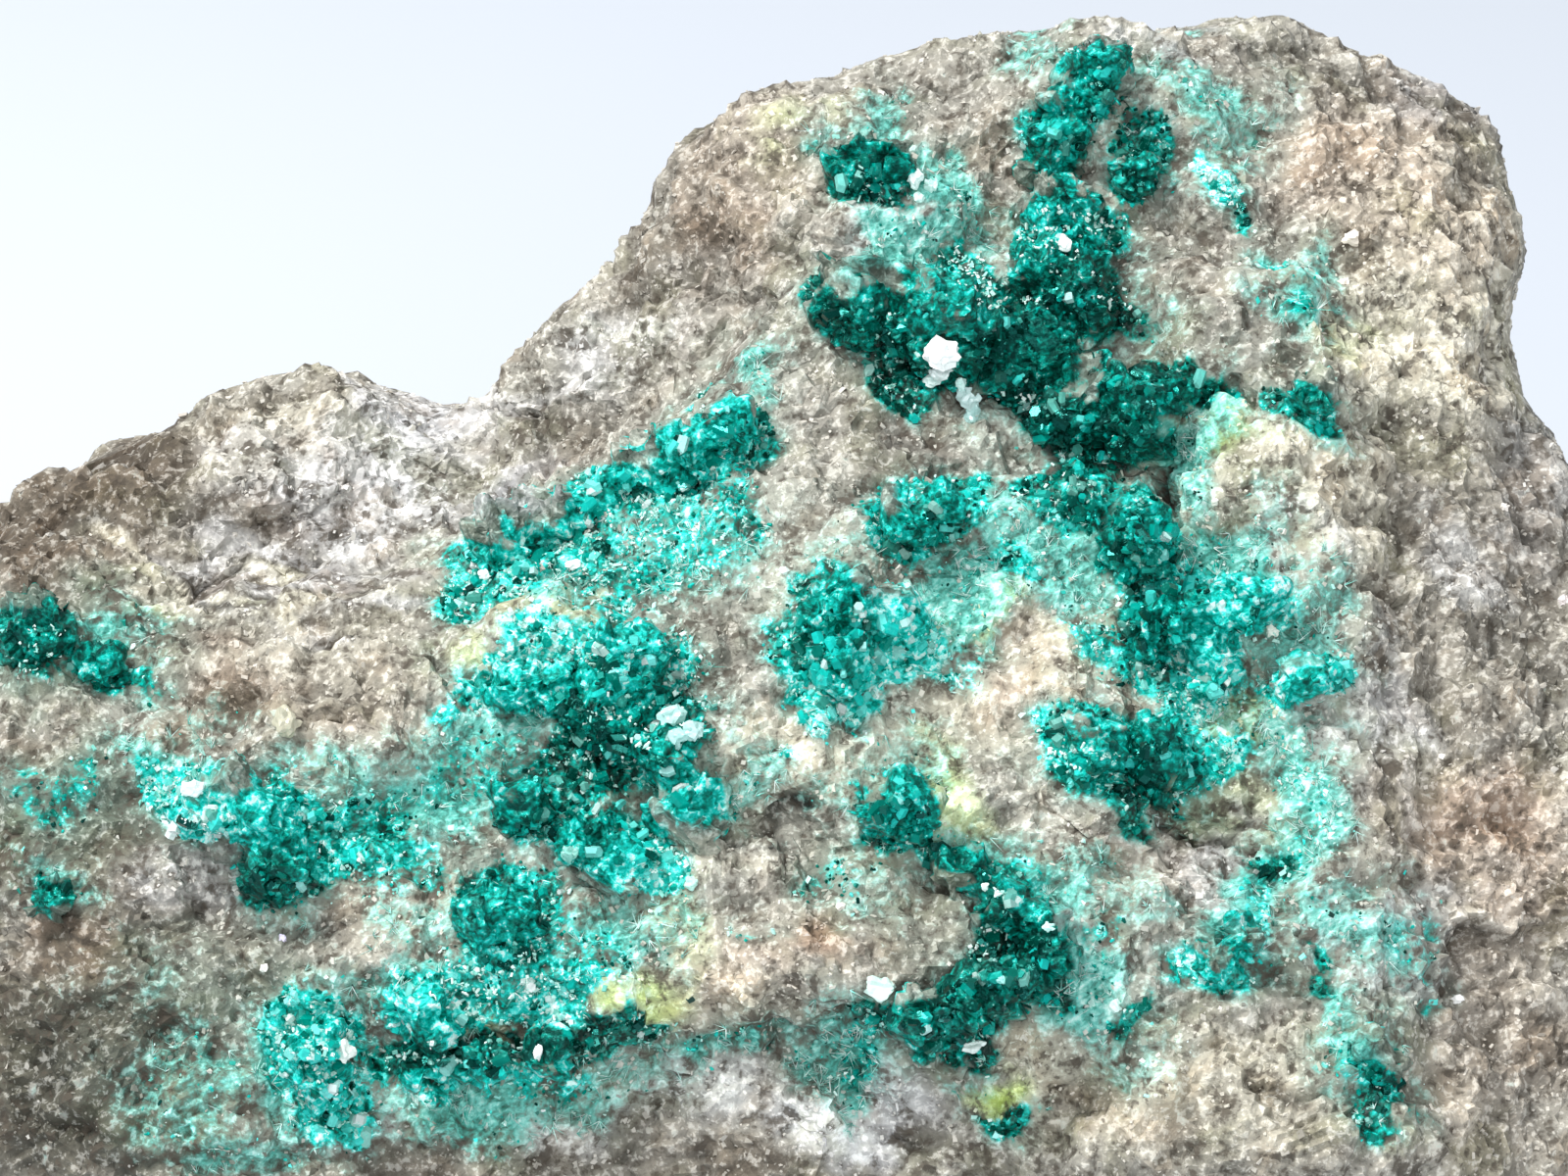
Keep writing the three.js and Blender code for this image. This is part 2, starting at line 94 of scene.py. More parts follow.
# Patches of colour, as ovals in picture pixels: x, y, half-width, half-height, turn, strength.
# A green patch has one number more: how bright its green is, from 0 (deep emerald) to 1 (turquoise)
deepGreen = {
    "crown": [(1110, 82, 34, 34, 0, 1, 0.34)],
    "leftBead": [(1079, 136, 35, 28, 0, 1, 0.38)],
    "rightBead": [(1163, 172, 27, 41, 0, 1, 0.28)],
    "smallBead": [(1086, 197, 26, 26, 0, 1, 0.28)],
    "dome": [(1093, 240, 66, 30, 0, 0.9, 0.5)],
    "heart": [
        (1090, 312, 80, 46, 0, 1, 0.06), (1030, 372, 62, 34, 8, 1, 0.1), (1075, 425, 62, 40, 25, 1, 0.05)],
    "heartRight": [
        (1125, 445, 70, 44, -10, 1, 0.05), (1190, 392, 50, 24, -12, 1, 0.1),
        (1245, 405, 34, 14, 10, 0.8, 0.2)],
    "heartLeft": [
        (860, 322, 32, 38, 0, 1, 0.14), (905, 345, 55, 34, 20, 1, 0.2), (985, 300, 44, 36, 0, 0.9, 0.4),
        (930, 385, 40, 24, 30, 0.95, 0.15)],
    "leftEye": [(892, 186, 40, 36, 0, 1, 0.24)],
    "spark": [(1246, 197, 26, 20, 0, 1, 1), (1272, 222, 20, 14, 20, 0.8, 0.3)],
    "ear": [(1320, 300, 30, 34, 0, 0.7, 0.62), (1330, 410, 32, 26, 0, 0.85, 0.4)],
    "crest": [
        (748, 442, 30, 40, 0, 1, 0.5), (700, 482, 62, 28, -34, 1, 0.62), (618, 522, 70, 30, -30, 1, 0.7),
        (530, 568, 62, 30, -24, 1, 0.66), (478, 600, 32, 34, 0, 0.95, 0.55)],
    "crestField": [
        (690, 560, 90, 50, -15, 0.56, 0.6), (760, 520, 30, 40, 0, 0.6, 0.6),
        (620, 590, 40, 40, 0, 0.66, 0.5)],
    "middleLeft": [
        (640, 662, 62, 32, 6, 1, 0.66), (524, 698, 62, 34, 6, 0.98, 0.78),
        (556, 652, 40, 22, 0, 0.9, 1.1), (450, 730, 40, 26, -20, 0.6, 0.8),
        (600, 715, 74, 44, 10, 1, 0.45), (668, 745, 54, 58, 0, 1, 0.34), (604, 770, 50, 44, 0, 1, 0.22),
        (708, 805, 28, 34, 0, 1, 0.74)],
    "middleLeftFoot": [
        (560, 800, 40, 40, 0, 0.85, 0.3), (530, 836, 38, 20, 8, 0.98, 0.12),
        (604, 856, 66, 28, 14, 0.98, 0.5), (658, 890, 50, 28, 22, 1, 0.84)],
    "centre": [
        (938, 528, 42, 36, 0, 0.95, 0.5), (985, 508, 48, 24, -10, 0.8, 0.55),
        (1035, 575, 34, 34, 0, 0.9, 0.7)],
    "centreLeft": [
        (840, 640, 42, 48, 0, 1, 0.5), (890, 668, 66, 40, -8, 1, 0.82), (948, 645, 46, 38, -20, 1, 0.9),
        (862, 712, 44, 28, 0, 1, 0.95)],
    "centreRight": [
        (1100, 500, 56, 30, 0, 0.9, 0.46), (1165, 558, 44, 42, 20, 1, 0.42),
        (1188, 620, 44, 60, -10, 1, 0.42), (1130, 660, 40, 40, 0, 0.66, 0.6),
        (1265, 615, 58, 46, 0, 0.9, 0.76), (1240, 690, 44, 40, 0, 0.9, 1),
        (1195, 690, 50, 30, 0, 0.8, 0.74)],
    "blade": [(1345, 690, 44, 20, -16, 1, 0.66), (1300, 715, 30, 16, -10, 0.75, 0.7)],
    "lowerRight": [
        (1112, 768, 54, 36, 10, 1, 0.6), (1185, 782, 58, 44, 0, 1, 0.08), (1155, 822, 18, 24, 0, 1, 0.3),
        (1243, 776, 30, 30, 0, 1, 0.76), (1200, 730, 40, 22, 0, 0.8, 0.76)],
    "slope": [
        (1345, 810, 26, 50, 0, 0.4, 0.85), (1316, 872, 20, 36, 10, 0.4, 0.85),
        (1298, 896, 22, 16, 0, 0.9, 0.12), (1285, 930, 26, 30, 0, 0.5, 0.6),
        (1238, 985, 40, 20, -14, 0.72, 0.7)],
    "foot": [
        (1375, 930, 40, 20, 0, 0.42, 0.4), (1340, 1000, 30, 22, 0, 0.7, 0.24),
        (1440, 960, 22, 30, 0, 0.45, 0.5), (1402, 1124, 28, 36, -20, 0.9, 0.26),
        (1370, 1090, 26, 16, 30, 0.5, 0.6), (1130, 955, 24, 24, 0, 0.5, 0.3),
        (1150, 1040, 32, 14, 0, 0.8, 0.2), (1440, 1010, 20, 12, 0, 0.5, 0.2)],
    "greenLobe": [(922, 832, 42, 48, 10, 1, 0.52), (898, 866, 34, 18, -10, 0.8, 0.3)],
    "hook": [
        (962, 876, 46, 20, 22, 1, 0.1), (1020, 903, 48, 20, 24, 1, 0.12), (1048, 955, 42, 56, 0, 1, 0.12),
        (1020, 1010, 56, 38, -10, 1, 0.14), (935, 1040, 66, 30, 0, 1, 0.16),
        (1000, 1058, 40, 20, 0, 1, 0.06)],
    "leftEdge": [
        (36, 655, 50, 32, 0, 0.9, 0.16), (118, 682, 44, 28, 14, 0.8, 0.3),
        (40, 800, 60, 24, 4, 0.5, 0.24)],
    "leftPatch": [
        (212, 828, 58, 34, 8, 1, 0.92), (284, 897, 44, 42, 0, 1, 0.05), (300, 825, 56, 34, 0, 0.9, 0.7),
        (345, 868, 44, 32, -20, 0.9, 0.78), (385, 850, 40, 30, 0, 0.7, 0.74)],
    "leftGrain": [(56, 914, 26, 16, 0, 0.7, 0.15), (150, 800, 30, 20, 0, 0.4, 0.5)],
    "speckled": [
        (480, 790, 60, 40, -15, 0.5, 0.5), (390, 830, 60, 36, -20, 0.62, 0.4),
        (420, 880, 40, 40, 0, 0.5, 0.4)],
    "lowMiddle": [
        (515, 940, 62, 56, 0, 0.9, 0.42), (600, 975, 50, 40, 0, 0.5, 0.5),
        (450, 1012, 76, 30, 4, 0.95, 0.8), (560, 1012, 60, 26, -6, 0.9, 0.66)],
    "lowBand": [
        (415, 1075, 46, 28, 0, 1, 0.14), (500, 1084, 70, 20, 0, 1, 0.04),
        (600, 1064, 60, 19, -8, 1, 0.06), (665, 1045, 30, 14, -10, 0.85, 0.2),
        (560, 1036, 50, 14, 0, 0.8, 1), (470, 1046, 50, 12, 0, 0.9, 1.05),
        (430, 1112, 60, 14, -6, 0.7, 0.85), (560, 1108, 70, 14, -8, 0.6, 0.7)],
    "lowBright": [
        (318, 1075, 48, 58, 10, 1, 0.82), (345, 1125, 36, 40, 0, 1, 0.72),
        (290, 1040, 24, 26, 0, 0.8, 0.7)],
    "lowFaint": [
        (120, 1010, 60, 40, 0, 0.15, 0.3), (200, 1120, 60, 60, 0, 0.32, 0.5),
        (560, 1120, 90, 18, -8, 0.4, 0.4), (740, 1062, 60, 14, -8, 0.5, 0.25)],
    "specks": [
        (1030, 1138, 34, 14, 0, 0.8, 0.3), (885, 1090, 28, 34, 0, 0.6, 0.4),
        (760, 945, 30, 16, 0, 0.45, 0.5), (800, 785, 18, 10, 0, 0.66, 0.9),
        (850, 905, 40, 14, -12, 0.45, 0.35), (1045, 885, 60, 30, 0, 0.45, 0.6)],
}
paleGreen = {
    "head": [
        (956, 188, 34, 30, 0, 1), (885, 130, 44, 30, 0, 0.5), (930, 250, 66, 26, -8, 0.85),
        (1055, 60, 30, 18, 0, 0.5), (1232, 100, 66, 36, 20, 0.55), (1256, 150, 36, 24, 0, 0.45)],
    "ear": [
        (1325, 300, 40, 46, 0, 0.8), (1206, 462, 34, 42, 0, 0.8), (1250, 420, 44, 30, 0, 0.6),
        (1340, 430, 50, 26, 0, 0.45), (1250, 200, 32, 24, 0, 0.8)],
    "crest": [
        (770, 370, 34, 30, 0, 0.62), (690, 560, 100, 54, -15, 0.62), (600, 530, 80, 16, -30, 0.55),
        (556, 596, 40, 26, -10, 0.85), (572, 664, 48, 22, 0, 0.8)],
    "middle": [
        (520, 690, 60, 30, 0, 0.6), (633, 690, 40, 16, 0, 0.7), (649, 880, 60, 24, 20, 0.7),
        (700, 820, 26, 20, 0, 0.8), (480, 760, 80, 50, -20, 0.55), (440, 815, 60, 40, 0, 0.7)],
    "centre": [
        (985, 600, 50, 50, 0, 0.85), (1090, 560, 110, 60, 0, 0.6), (880, 560, 50, 40, 0, 0.4),
        (1030, 520, 70, 30, 0, 0.55), (1075, 590, 60, 60, 0, 0.55), (1130, 520, 60, 30, 0, 0.6),
        (850, 730, 34, 14, 0, 0.6), (1000, 550, 30, 30, 0, 0.6)],
    "right": [
        (1250, 575, 80, 50, 0, 0.85), (1330, 640, 50, 60, 0, 0.55), (1310, 600, 40, 40, 0, 0.5),
        (1230, 650, 40, 40, 0, 0.5), (1210, 720, 50, 30, 20, 0.8), (1300, 740, 40, 50, 0, 0.6),
        (1338, 806, 40, 64, 0, 0.75), (1316, 870, 34, 50, 10, 0.75), (1270, 930, 50, 34, -20, 0.7),
        (1240, 985, 50, 24, -14, 0.6)],
    "foot": [
        (1385, 948, 62, 36, 0, 0.6), (1370, 1036, 34, 50, -30, 0.6), (1392, 1088, 36, 36, -20, 0.65),
        (1088, 990, 44, 64, 0, 0.95), (1070, 900, 50, 30, 10, 0.7), (1120, 900, 40, 30, 0, 0.5),
        (1180, 930, 50, 30, 0, 0.35), (1418, 950, 34, 26, 0, 0.6), (1370, 900, 50, 20, 0, 0.4)],
    "left": [
        (70, 640, 70, 20, 0, 0.6), (205, 800, 60, 26, 10, 0.75), (140, 640, 60, 26, 0, 0.35),
        (330, 830, 80, 50, 0, 0.6), (30, 640, 50, 14, 0, 0.3), (150, 780, 50, 24, 0, 0.5),
        (60, 900, 60, 30, 0, 0.4), (200, 740, 60, 30, 0, 0.3)],
    "low": [
        (480, 1130, 120, 34, -6, 0.6), (740, 1068, 90, 22, -6, 0.55), (440, 1000, 80, 26, 6, 0.8),
        (540, 1010, 80, 30, -6, 0.75), (310, 1080, 60, 70, 10, 0.8), (470, 1060, 40, 22, 0, 0.5),
        (570, 1130, 80, 20, -8, 0.5), (680, 940, 40, 40, 0, 0.4), (190, 1110, 70, 60, 0, 0.42),
        (250, 1178, 70, 26, 0, 0.5), (620, 960, 70, 46, 0, 0.55), (760, 790, 60, 26, 0, 0.45),
        (640, 1110, 90, 24, -8, 0.4), (440, 940, 60, 40, 0, 0.4), (140, 1000, 60, 40, 0, 0.2)],
    "hook": [
        (900, 890, 70, 50, 0, 0.3), (840, 820, 60, 30, 0, 0.4), (1140, 1080, 60, 40, 0, 0.35),
        (1040, 1000, 30, 20, 0, 0.3), (990, 1095, 44, 18, 0, 0.4), (875, 1090, 44, 40, 0, 0.7),
        (930, 800, 60, 50, 0, 0.45), (1000, 860, 60, 30, 0, 0.5), (840, 1040, 60, 30, 0, 0.4)],
}
rockTones = [
    # name, colour, patches
    ("cream", colour(200, 194, 174), [
        (1440, 370, 110, 50, 12, 0.8), (1470, 290, 110, 140, 0, 0.65), (1110, 1110, 110, 60, 0, 0.65),
        (1290, 490, 130, 80, 0, 0.8), (1250, 1120, 120, 60, 0, 0.5), (300, 440, 110, 40, -10, 0.45),
        (1470, 1120, 60, 60, 0, 0.3), (840, 880, 90, 20, -6, 0.3), (1400, 450, 70, 60, 0, 0.7),
        (1090, 680, 60, 30, 0, 0.75), (930, 770, 90, 46, -10, 0.7), (320, 660, 140, 40, 0, 0.3),
        (150, 600, 60, 16, 30, 0.6), (1290, 1085, 90, 40, 0, 0.75), (760, 800, 70, 26, 0, 0.5),
        (285, 735, 34, 20, 0, 0.7), (980, 740, 60, 40, 0, 0.6), (800, 760, 60, 36, 0, 0.5),
        (860, 812, 50, 26, 0, 0.5), (745, 885, 70, 20, 0, 0.4), (350, 680, 60, 50, 0, 0.3),
        (740, 1020, 70, 30, 0, 0.6), (960, 700, 60, 30, 0, 0.5), (1400, 560, 30, 60, 0, 0.4),
        (1320, 780, 30, 60, 0, 0.3), (820, 600, 50, 40, 0, 0.3)]),
    # pale grey rock, and painted light on the over-lit notch at upper left and along the crest's rim
    ("light", colour(196, 195, 196), [
        (640, 350, 110, 40, -30, 0.3), (440, 430, 70, 34, 0, 0.8), (330, 500, 110, 60, 0, 0.6),
        (270, 580, 120, 20, 10, 0.6), (520, 500, 60, 20, -30, 0.8), (870, 1150, 80, 30, 0, 0.7),
        (1480, 100, 60, 30, 30, 0.6), (1180, 50, 60, 16, 0, 0.5), (1560, 500, 40, 80, 0, 0.35),
        (1440, 980, 60, 20, -30, 0.6), (390, 620, 60, 14, -12, 0.8), (210, 600, 90, 10, 22, 0.7),
        (1420, 740, 30, 90, 0, 0.45), (1200, 850, 80, 20, 0, 0.5), (690, 1118, 90, 24, 0, 0.4)]),
    ("pink", colour(186, 168, 150), [
        (1500, 1060, 110, 120, 0, 0.3), (1520, 880, 120, 90, 0, 0.6), (1400, 180, 90, 80, 0, 0.5),
        (1500, 830, 80, 60, 0, 0.6), (400, 910, 60, 46, 0, 0.7), (700, 970, 120, 40, 0, 0.55),
        (1040, 690, 60, 34, 0, 0.6), (1160, 870, 70, 40, 0, 0.5), (880, 940, 120, 40, 0, 0.3),
        (1480, 230, 60, 60, 0, 0.4), (240, 700, 60, 40, 0, 0.4), (350, 745, 60, 34, -20, 0.5),
        (1420, 860, 50, 60, 0, 0.35), (760, 160, 70, 60, -30, 0.35)]),
    ("rust", colour(140, 98, 62), [
        (66, 965, 44, 18, 0, 0.6), (830, 958, 40, 20, 0, 0.55), (240, 710, 40, 30, 20, 0.35),
        (1520, 830, 40, 26, 0, 0.3), (740, 240, 50, 36, -40, 0.3), (1130, 1140, 60, 20, 0, 0.3)]),
    ("yellow", colour(226, 236, 176), [
        (1240, 440, 42, 26, -20, 0.9), (180, 1122, 40, 30, 0, 0.4), (1022, 1112, 36, 20, 0, 0.95),
        (655, 1020, 46, 24, 0, 0.8), (470, 668, 26, 20, 0, 0.7), (560, 620, 50, 24, 0, 0.5),
        (965, 815, 34, 40, 0, 0.75), (1005, 628, 34, 16, -20, 0.8), (1250, 740, 60, 24, 0, 0.6),
        (1380, 340, 34, 26, 0, 0.5), (500, 1050, 50, 24, 0, 0.6), (1300, 860, 40, 20, 0, 0.3),
        (150, 625, 30, 12, 0, 0.5), (1240, 820, 60, 20, 0, 0.35), (800, 130, 40, 16, -20, 0.3),
        (690, 950, 24, 40, 0, 0.3)]),
    ("lime", colour(190, 214, 92), [
        (1022, 1112, 28, 16, 0, 0.9), (1236, 440, 26, 14, -20, 0.55), (650, 1020, 30, 14, 0, 0.5),
        (1008, 626, 24, 10, -20, 0.5), (965, 812, 16, 20, 0, 0.4), (1252, 742, 40, 14, 0, 0.4)]),
    ("brown", colour(100, 90, 77), [
        (60, 520, 160, 90, -25, 0.9), (110, 1120, 160, 120, 0, 0.8), (90, 890, 140, 100, 0, 0.75),
        (310, 690, 130, 50, 0, 0.3), (560, 440, 60, 60, 0, 0.4), (250, 540, 120, 40, 10, 0.5),
        (80, 545, 120, 50, -25, 0.9), (60, 1140, 120, 60, 0, 0.6), (1560, 640, 60, 90, 0, 0.4),
        (1180, 300, 60, 60, 0, 0.35), (690, 290, 100, 80, -40, 0.45), (1500, 560, 90, 120, 0, 0.4),
        (1500, 690, 80, 80, 0, 0.35), (70, 1080, 150, 140, 0, 0.95), (300, 1180, 300, 60, 0, 0.6),
        (40, 700, 70, 300, 0, 0.45), (260, 1000, 120, 40, 0, 0.5), (700, 1190, 120, 20, 0, 0.5),
        (1440, 650, 20, 60, 0, 0.5), (1350, 540, 30, 40, 0, 0.2), (1540, 1050, 60, 120, 0, 0.15),
        (800, 1186, 120, 16, 0, 0.5), (80, 860, 60, 50, 0, 0.5), (1300, 70, 90, 26, 0, 0.3),
        (720, 190, 60, 60, -40, 0.45), (1480, 160, 50, 60, 0, 0.3), (1370, 1160, 120, 30, 0, 0.3),
        (600, 1150, 120, 30, 0, 0.3), (700, 640, 50, 40, 0, 0.3)]),
    ("moss", colour(92, 112, 98), [
        (60, 660, 110, 60, 0, 0.6), (900, 900, 90, 40, 0, 0.45), (960, 960, 40, 40, 0, 0.4),
        (60, 820, 90, 60, 0, 0.6), (350, 850, 120, 60, -20, 0.6), (80, 1100, 120, 100, 0, 0.25),
        (200, 1010, 100, 50, 0, 0.45), (1390, 1000, 60, 90, 0, 0.5), (1300, 960, 60, 50, 0, 0.5),
        (770, 1060, 140, 26, -8, 0.6), (1130, 960, 40, 50, 0, 0.5), (440, 860, 60, 30, 0, 0.5),
        (1160, 1050, 60, 26, 0, 0.5), (900, 1090, 50, 30, 0, 0.5)]),
    ("white", colour(222, 222, 220), [
        (380, 540, 50, 30, -20, 0.6), (250, 570, 40, 16, 10, 0.3), (620, 350, 60, 24, -30, 0.3),
        (870, 1140, 70, 24, 0, 0.8), (410, 450, 30, 50, 0, 0.6), (1230, 880, 60, 20, 0, 0.4),
        (990, 1120, 30, 14, 0, 0.3), (200, 900, 60, 30, 0, 0.35), (350, 1150, 60, 20, 0, 0.2),
        (560, 1160, 60, 20, 0, 0.3), (1500, 590, 60, 20, 40, 0.4), (1320, 545, 60, 26, 0, 0.5),
        (1370, 730, 30, 50, 0, 0.25), (740, 1104, 60, 14, 0, 0.2), (1440, 930, 50, 24, -20, 0.4),
        (1102, 980, 32, 62, 0, 0.6), (910, 240, 60, 22, 0, 0.5), (900, 1122, 50, 18, 0, 0.5),
        (1385, 960, 50, 40, 0, 0.35), (1300, 900, 60, 40, 0, 0.3)]),
    # painted shade: near black in the pits and hollows, and darker on the lower left and left side
    ("dark", colour(48, 46, 40), [
        (50, 1120, 110, 110, 0, 0.4), (40, 860, 90, 70, 0, 0.2), (60, 520, 110, 60, -25, 0.2),
        (742, 842, 20, 6, 0, 0.7), (796, 838, 26, 10, 0, 0.9), (1352, 384, 16, 8, 0, 0.7),
        (1255, 392, 34, 9, 5, 0.6), (1192, 512, 12, 14, 0, 0.8), (860, 738, 16, 9, 0, 0.6),
        (1200, 842, 60, 7, 6, 0.55), (1320, 352, 14, 9, 0, 0.5), (595, 600, 12, 12, 0, 0.6),
        (1408, 595, 18, 6, 40, 0.4)]),
]
# Lines of colour along edges and grooves: most are painted light on rims, ridges and ledges that face up, and
# painted shade in grooves, crevices and under ledges; a few are the rock's own darker tone
lightShadeAndToneLines = [
    # colour, a line of pixels, half-width, strength
    (colour(196, 190, 170), [(106, 546), (150, 574), (190, 604), (228, 614)], 11, 0.65),
    (colour(188, 184, 164), [(228, 614), (300, 618), (400, 604), (440, 592)], 15, 0.5),
    (colour(74, 70, 62), [(108, 530), (170, 568), (228, 602), (330, 604), (420, 588)], 5, 0.85),
    (colour(96, 84, 70), [(6, 560), (60, 520), (104, 490), (150, 456), (190, 440)], 16, 0.7),
    (colour(120, 112, 98), [(190, 440), (260, 404), (340, 386)], 12, 0.6),
    (colour(214, 212, 214), [(352, 400), (392, 440), (430, 500)], 16, 0.6),
    (colour(214, 208, 196), [(1450, 760), (1446, 860), (1466, 960), (1560, 930)], 8, 0.6),
    (colour(92, 86, 76), [(1456, 990), (1520, 960), (1600, 900)], 10, 0.6),
    (colour(112, 104, 92), [(1400, 860), (1440, 780), (1500, 720), (1560, 760), (1600, 820)], 9, 0.5),
    (colour(60, 58, 50), [(1236, 846), (1270, 862)], 6, 0.8),
    (colour(70, 66, 56), [(1290, 1118), (1328, 1112)], 6, 0.8),
    (colour(70, 64, 56), [(1188, 500), (1206, 528)], 7, 0.8),
    (colour(220, 214, 196), [(1345, 470), (1340, 520), (1350, 580)], 9, 0.6),
    (colour(206, 204, 196), [(1430, 600), (1440, 680), (1432, 780)], 7, 0.5),
    (colour(96, 92, 80), [(1442, 600), (1452, 700)], 8, 0.5),
    (colour(228, 222, 206), [(1346, 300), (1380, 345), (1470, 352), (1530, 350)], 10, 0.6),
    (colour(110, 100, 88), [(1380, 90), (1440, 90), (1500, 120), (1540, 150)], 8, 0.5),
    (colour(88, 84, 76), [(700, 1076), (800, 1062), (880, 1044), (960, 1072)], 8, 0.5),
    (colour(84, 80, 70), [(690, 160), (700, 230), (650, 300)], 9, 0.5),
    (colour(216, 214, 210), [(500, 400), (590, 370), (680, 320)], 10, 0.6),
    (colour(110, 100, 84), [(172, 720), (214, 700), (250, 740)], 9, 0.7),
    (colour(104, 98, 84), [(310, 790), (314, 750), (352, 722)], 5, 0.7),
]
ambience = {
    "rock": colour(158, 154, 143),
    "warp": (16, 6),        # pixels by which the ovals' edges wander, in long and in short waves
    "wash": colour(116, 150, 136),
    "washStrength": 0.8,
    "halo": 0.7,            # how strong the pale green is round the deep green
    # how gently an oval fades, as a share of its radius: deep greens and tones, pale greens, and the haloes
    "softness": 0.42,
    "paleSoftness": 0.65,
    "haloSoftness": 0.85,
    "fade": 60,             # pixels over which the patches fade outside the picture
    # tones that drift over the hidden sides too, with the seeds of their drifts
    "drifts": {"pink": 4, "brown": 5, "cream": 5, "light": 5},
    "driftSize": 11 * mm,
    # green that the hidden sides show here and there, low down
    "stain": {"size": 24 * mm, "seed": 31, "top": 19 * mm, "fade": 4 * mm},
}


def ripple(points, wavelength, seed, waves=9):
    # a smooth random field between about -1 and 1: a few sine waves in random directions
    draw = np.random.default_rng(seed)
    directions = unit(draw.normal(size=(waves, 3)))
    lengths = wavelength * draw.uniform(0.6, 1.6, waves)
    phases = draw.uniform(0, 2 * math.pi, waves)
    swings = np.sin(points @ (directions / lengths[:, None]).T * 2 * math.pi + phases)
    return swings.sum(axis=1) / math.sqrt(waves)


def wandering(points):
    # the points' pixels, moved about a little so that ovals get natural edges
    pixels = pixelsOf(points)
    longWaves, shortWaves = ambience["warp"]
    for axis in (0, 1):
        pixels[:, axis] += longWaves * ripple(points, 4 * mm, 11 + axis)
        pixels[:, axis] += shortWaves * ripple(points, 1.2 * mm, 21 + axis)
    return pixels


def within(pixels, patches, softness):
    # how strongly each pixel lies in any of the ovals, and the brightness of the ovals near it
    most = np.zeros(len(pixels))
    weight = np.full(len(pixels), 0.004)
    brightness = np.full(len(pixels), 0.002)
    for x, y, halfWidth, halfHeight, turn, strength, *bright in patches:
        cosine = math.cos(math.radians(turn))
        sine = math.sin(math.radians(turn))
        right = pixels[:, 0] - x
        down = pixels[:, 1] - y
        long = (right * cosine + down * sine) / halfWidth
        short = (down * cosine - right * sine) / halfHeight
        reach = np.sqrt(long * long + short * short)
        share = np.clip((1 + softness - reach) / (2 * softness), 0, 1)
        most = np.maximum(most, strength * share)
        near = np.exp(-1.6 * reach ** 2)
        weight += near
        brightness += near * sum(bright)
    return most, brightness / weight


def alongLine(pixels, line, halfWidth):
    # 1 on a line of pixels, falling to 0 a half-width away
    nearest = np.full(len(pixels), 1e9)
    for start, end in zip(line, line[1:]):
        start = np.array(start)
        step = np.array(end) - start
        share = np.clip((pixels - start) @ step / (step @ step), 0, 1)
        nearest = np.minimum(nearest, np.linalg.norm(pixels - start - share[:, None] * step, axis=1))
    return np.clip(1.5 - nearest / halfWidth, 0, 1)


def flattened(groups):
    return [patch for patches in groups.values() for patch in patches]


def colouring(points, normals):
    # the rock's tone, the amounts of deep and pale green, and the green's brightness at each point
    pixels = wandering(points)
    towards = (normals * unit(eye - points)).sum(axis=1)
    fade = ambience["fade"]
    inPicture = np.clip((pixels[:, 0] + fade) / fade, 0, 1)
    inPicture *= np.clip((picture["width"] + fade - pixels[:, 0]) / fade, 0, 1)
    inPicture *= np.clip((picture["height"] + fade - pixels[:, 1]) / fade, 0, 1)
    inPicture *= np.clip(0.5 + 2.2 * towards, 0, 1)
    stain = ambience["stain"]
    away = (towards < -0.5) * np.clip((stain["top"] - points[:, 2]) / stain["fade"], 0, 1)
    hidden = np.clip(ripple(points, stain["size"], stain["seed"]) * 1.5 - 1.35, 0, 1) * away
    softness = ambience["softness"]
    deepPatches = flattened(deepGreen)
    palePatches = flattened(paleGreen)
    deep, bright = within(pixels, deepPatches, softness)
    halo, _ = within(pixels, deepPatches, ambience["haloSoftness"])
    pale, _ = within(pixels, palePatches, ambience["paleSoftness"])
    wash, _ = within(pixels, deepPatches + palePatches, 1.0)
    pale = np.maximum(pale, ambience["halo"] * halo)
    deep = deep * inPicture + 0.9 * hidden
    pale = pale * inPicture + 0.7 * hidden
    wash = (ambience["washStrength"] * wash * inPicture)[:, None]
    tone = np.tile(np.array(ambience["rock"][:3]), (len(points), 1))
    for name, shade, patches in rockTones:
        if name == "white":         # whites and the painted shade of the hollows lie over the green wash
            tone += (np.array(ambience["wash"][:3]) - tone) * wash
        amount = within(pixels, patches, softness)[0] * inPicture
        if name in ambience["drifts"]:
            drift = np.clip(ripple(points, ambience["driftSize"], ambience["drifts"][name]) - 0.35, 0, 1)
            amount = np.maximum(amount, 0.5 * drift * (1 - inPicture))
        tone += (np.array(shade[:3]) - tone) * amount[:, None]
    # painted light and shade along the lines, with a little of the rock's own tone
    for shade, line, halfWidth, strength in lightShadeAndToneLines:
        amount = strength * alongLine(pixels, line, halfWidth) * inPicture
        tone += (np.array(shade[:3]) - tone) * amount[:, None]
    return {"tone": tone, "deep": np.clip(deep, 0, 1), "pale": np.clip(pale, 0, 1), "bright": bright}


greenStops = {
    "at": (0.0, 0.25, 0.5, 0.75, 1.0, 1.4),
    "shades": [colour(0, 40, 32), colour(0, 104, 88), colour(0, 170, 154), colour(28, 216, 204),
               colour(132, 244, 234), colour(236, 252, 248)],
}
paleStops = {
    "at": (0.0, 0.35, 0.65, 1.0, 1.3),
    "shades": [colour(36, 104, 92), colour(78, 164, 148), colour(134, 204, 190), colour(204, 236, 226),
               colour(246, 252, 248)],
}


def shaded(levels, stops):
    # the colours that the levels pick out of a row of stops
    parts = [np.interp(levels, stops["at"], [shade[i] for shade in stops["shades"]]) for i in range(3)]
    return np.stack(parts, axis=1)


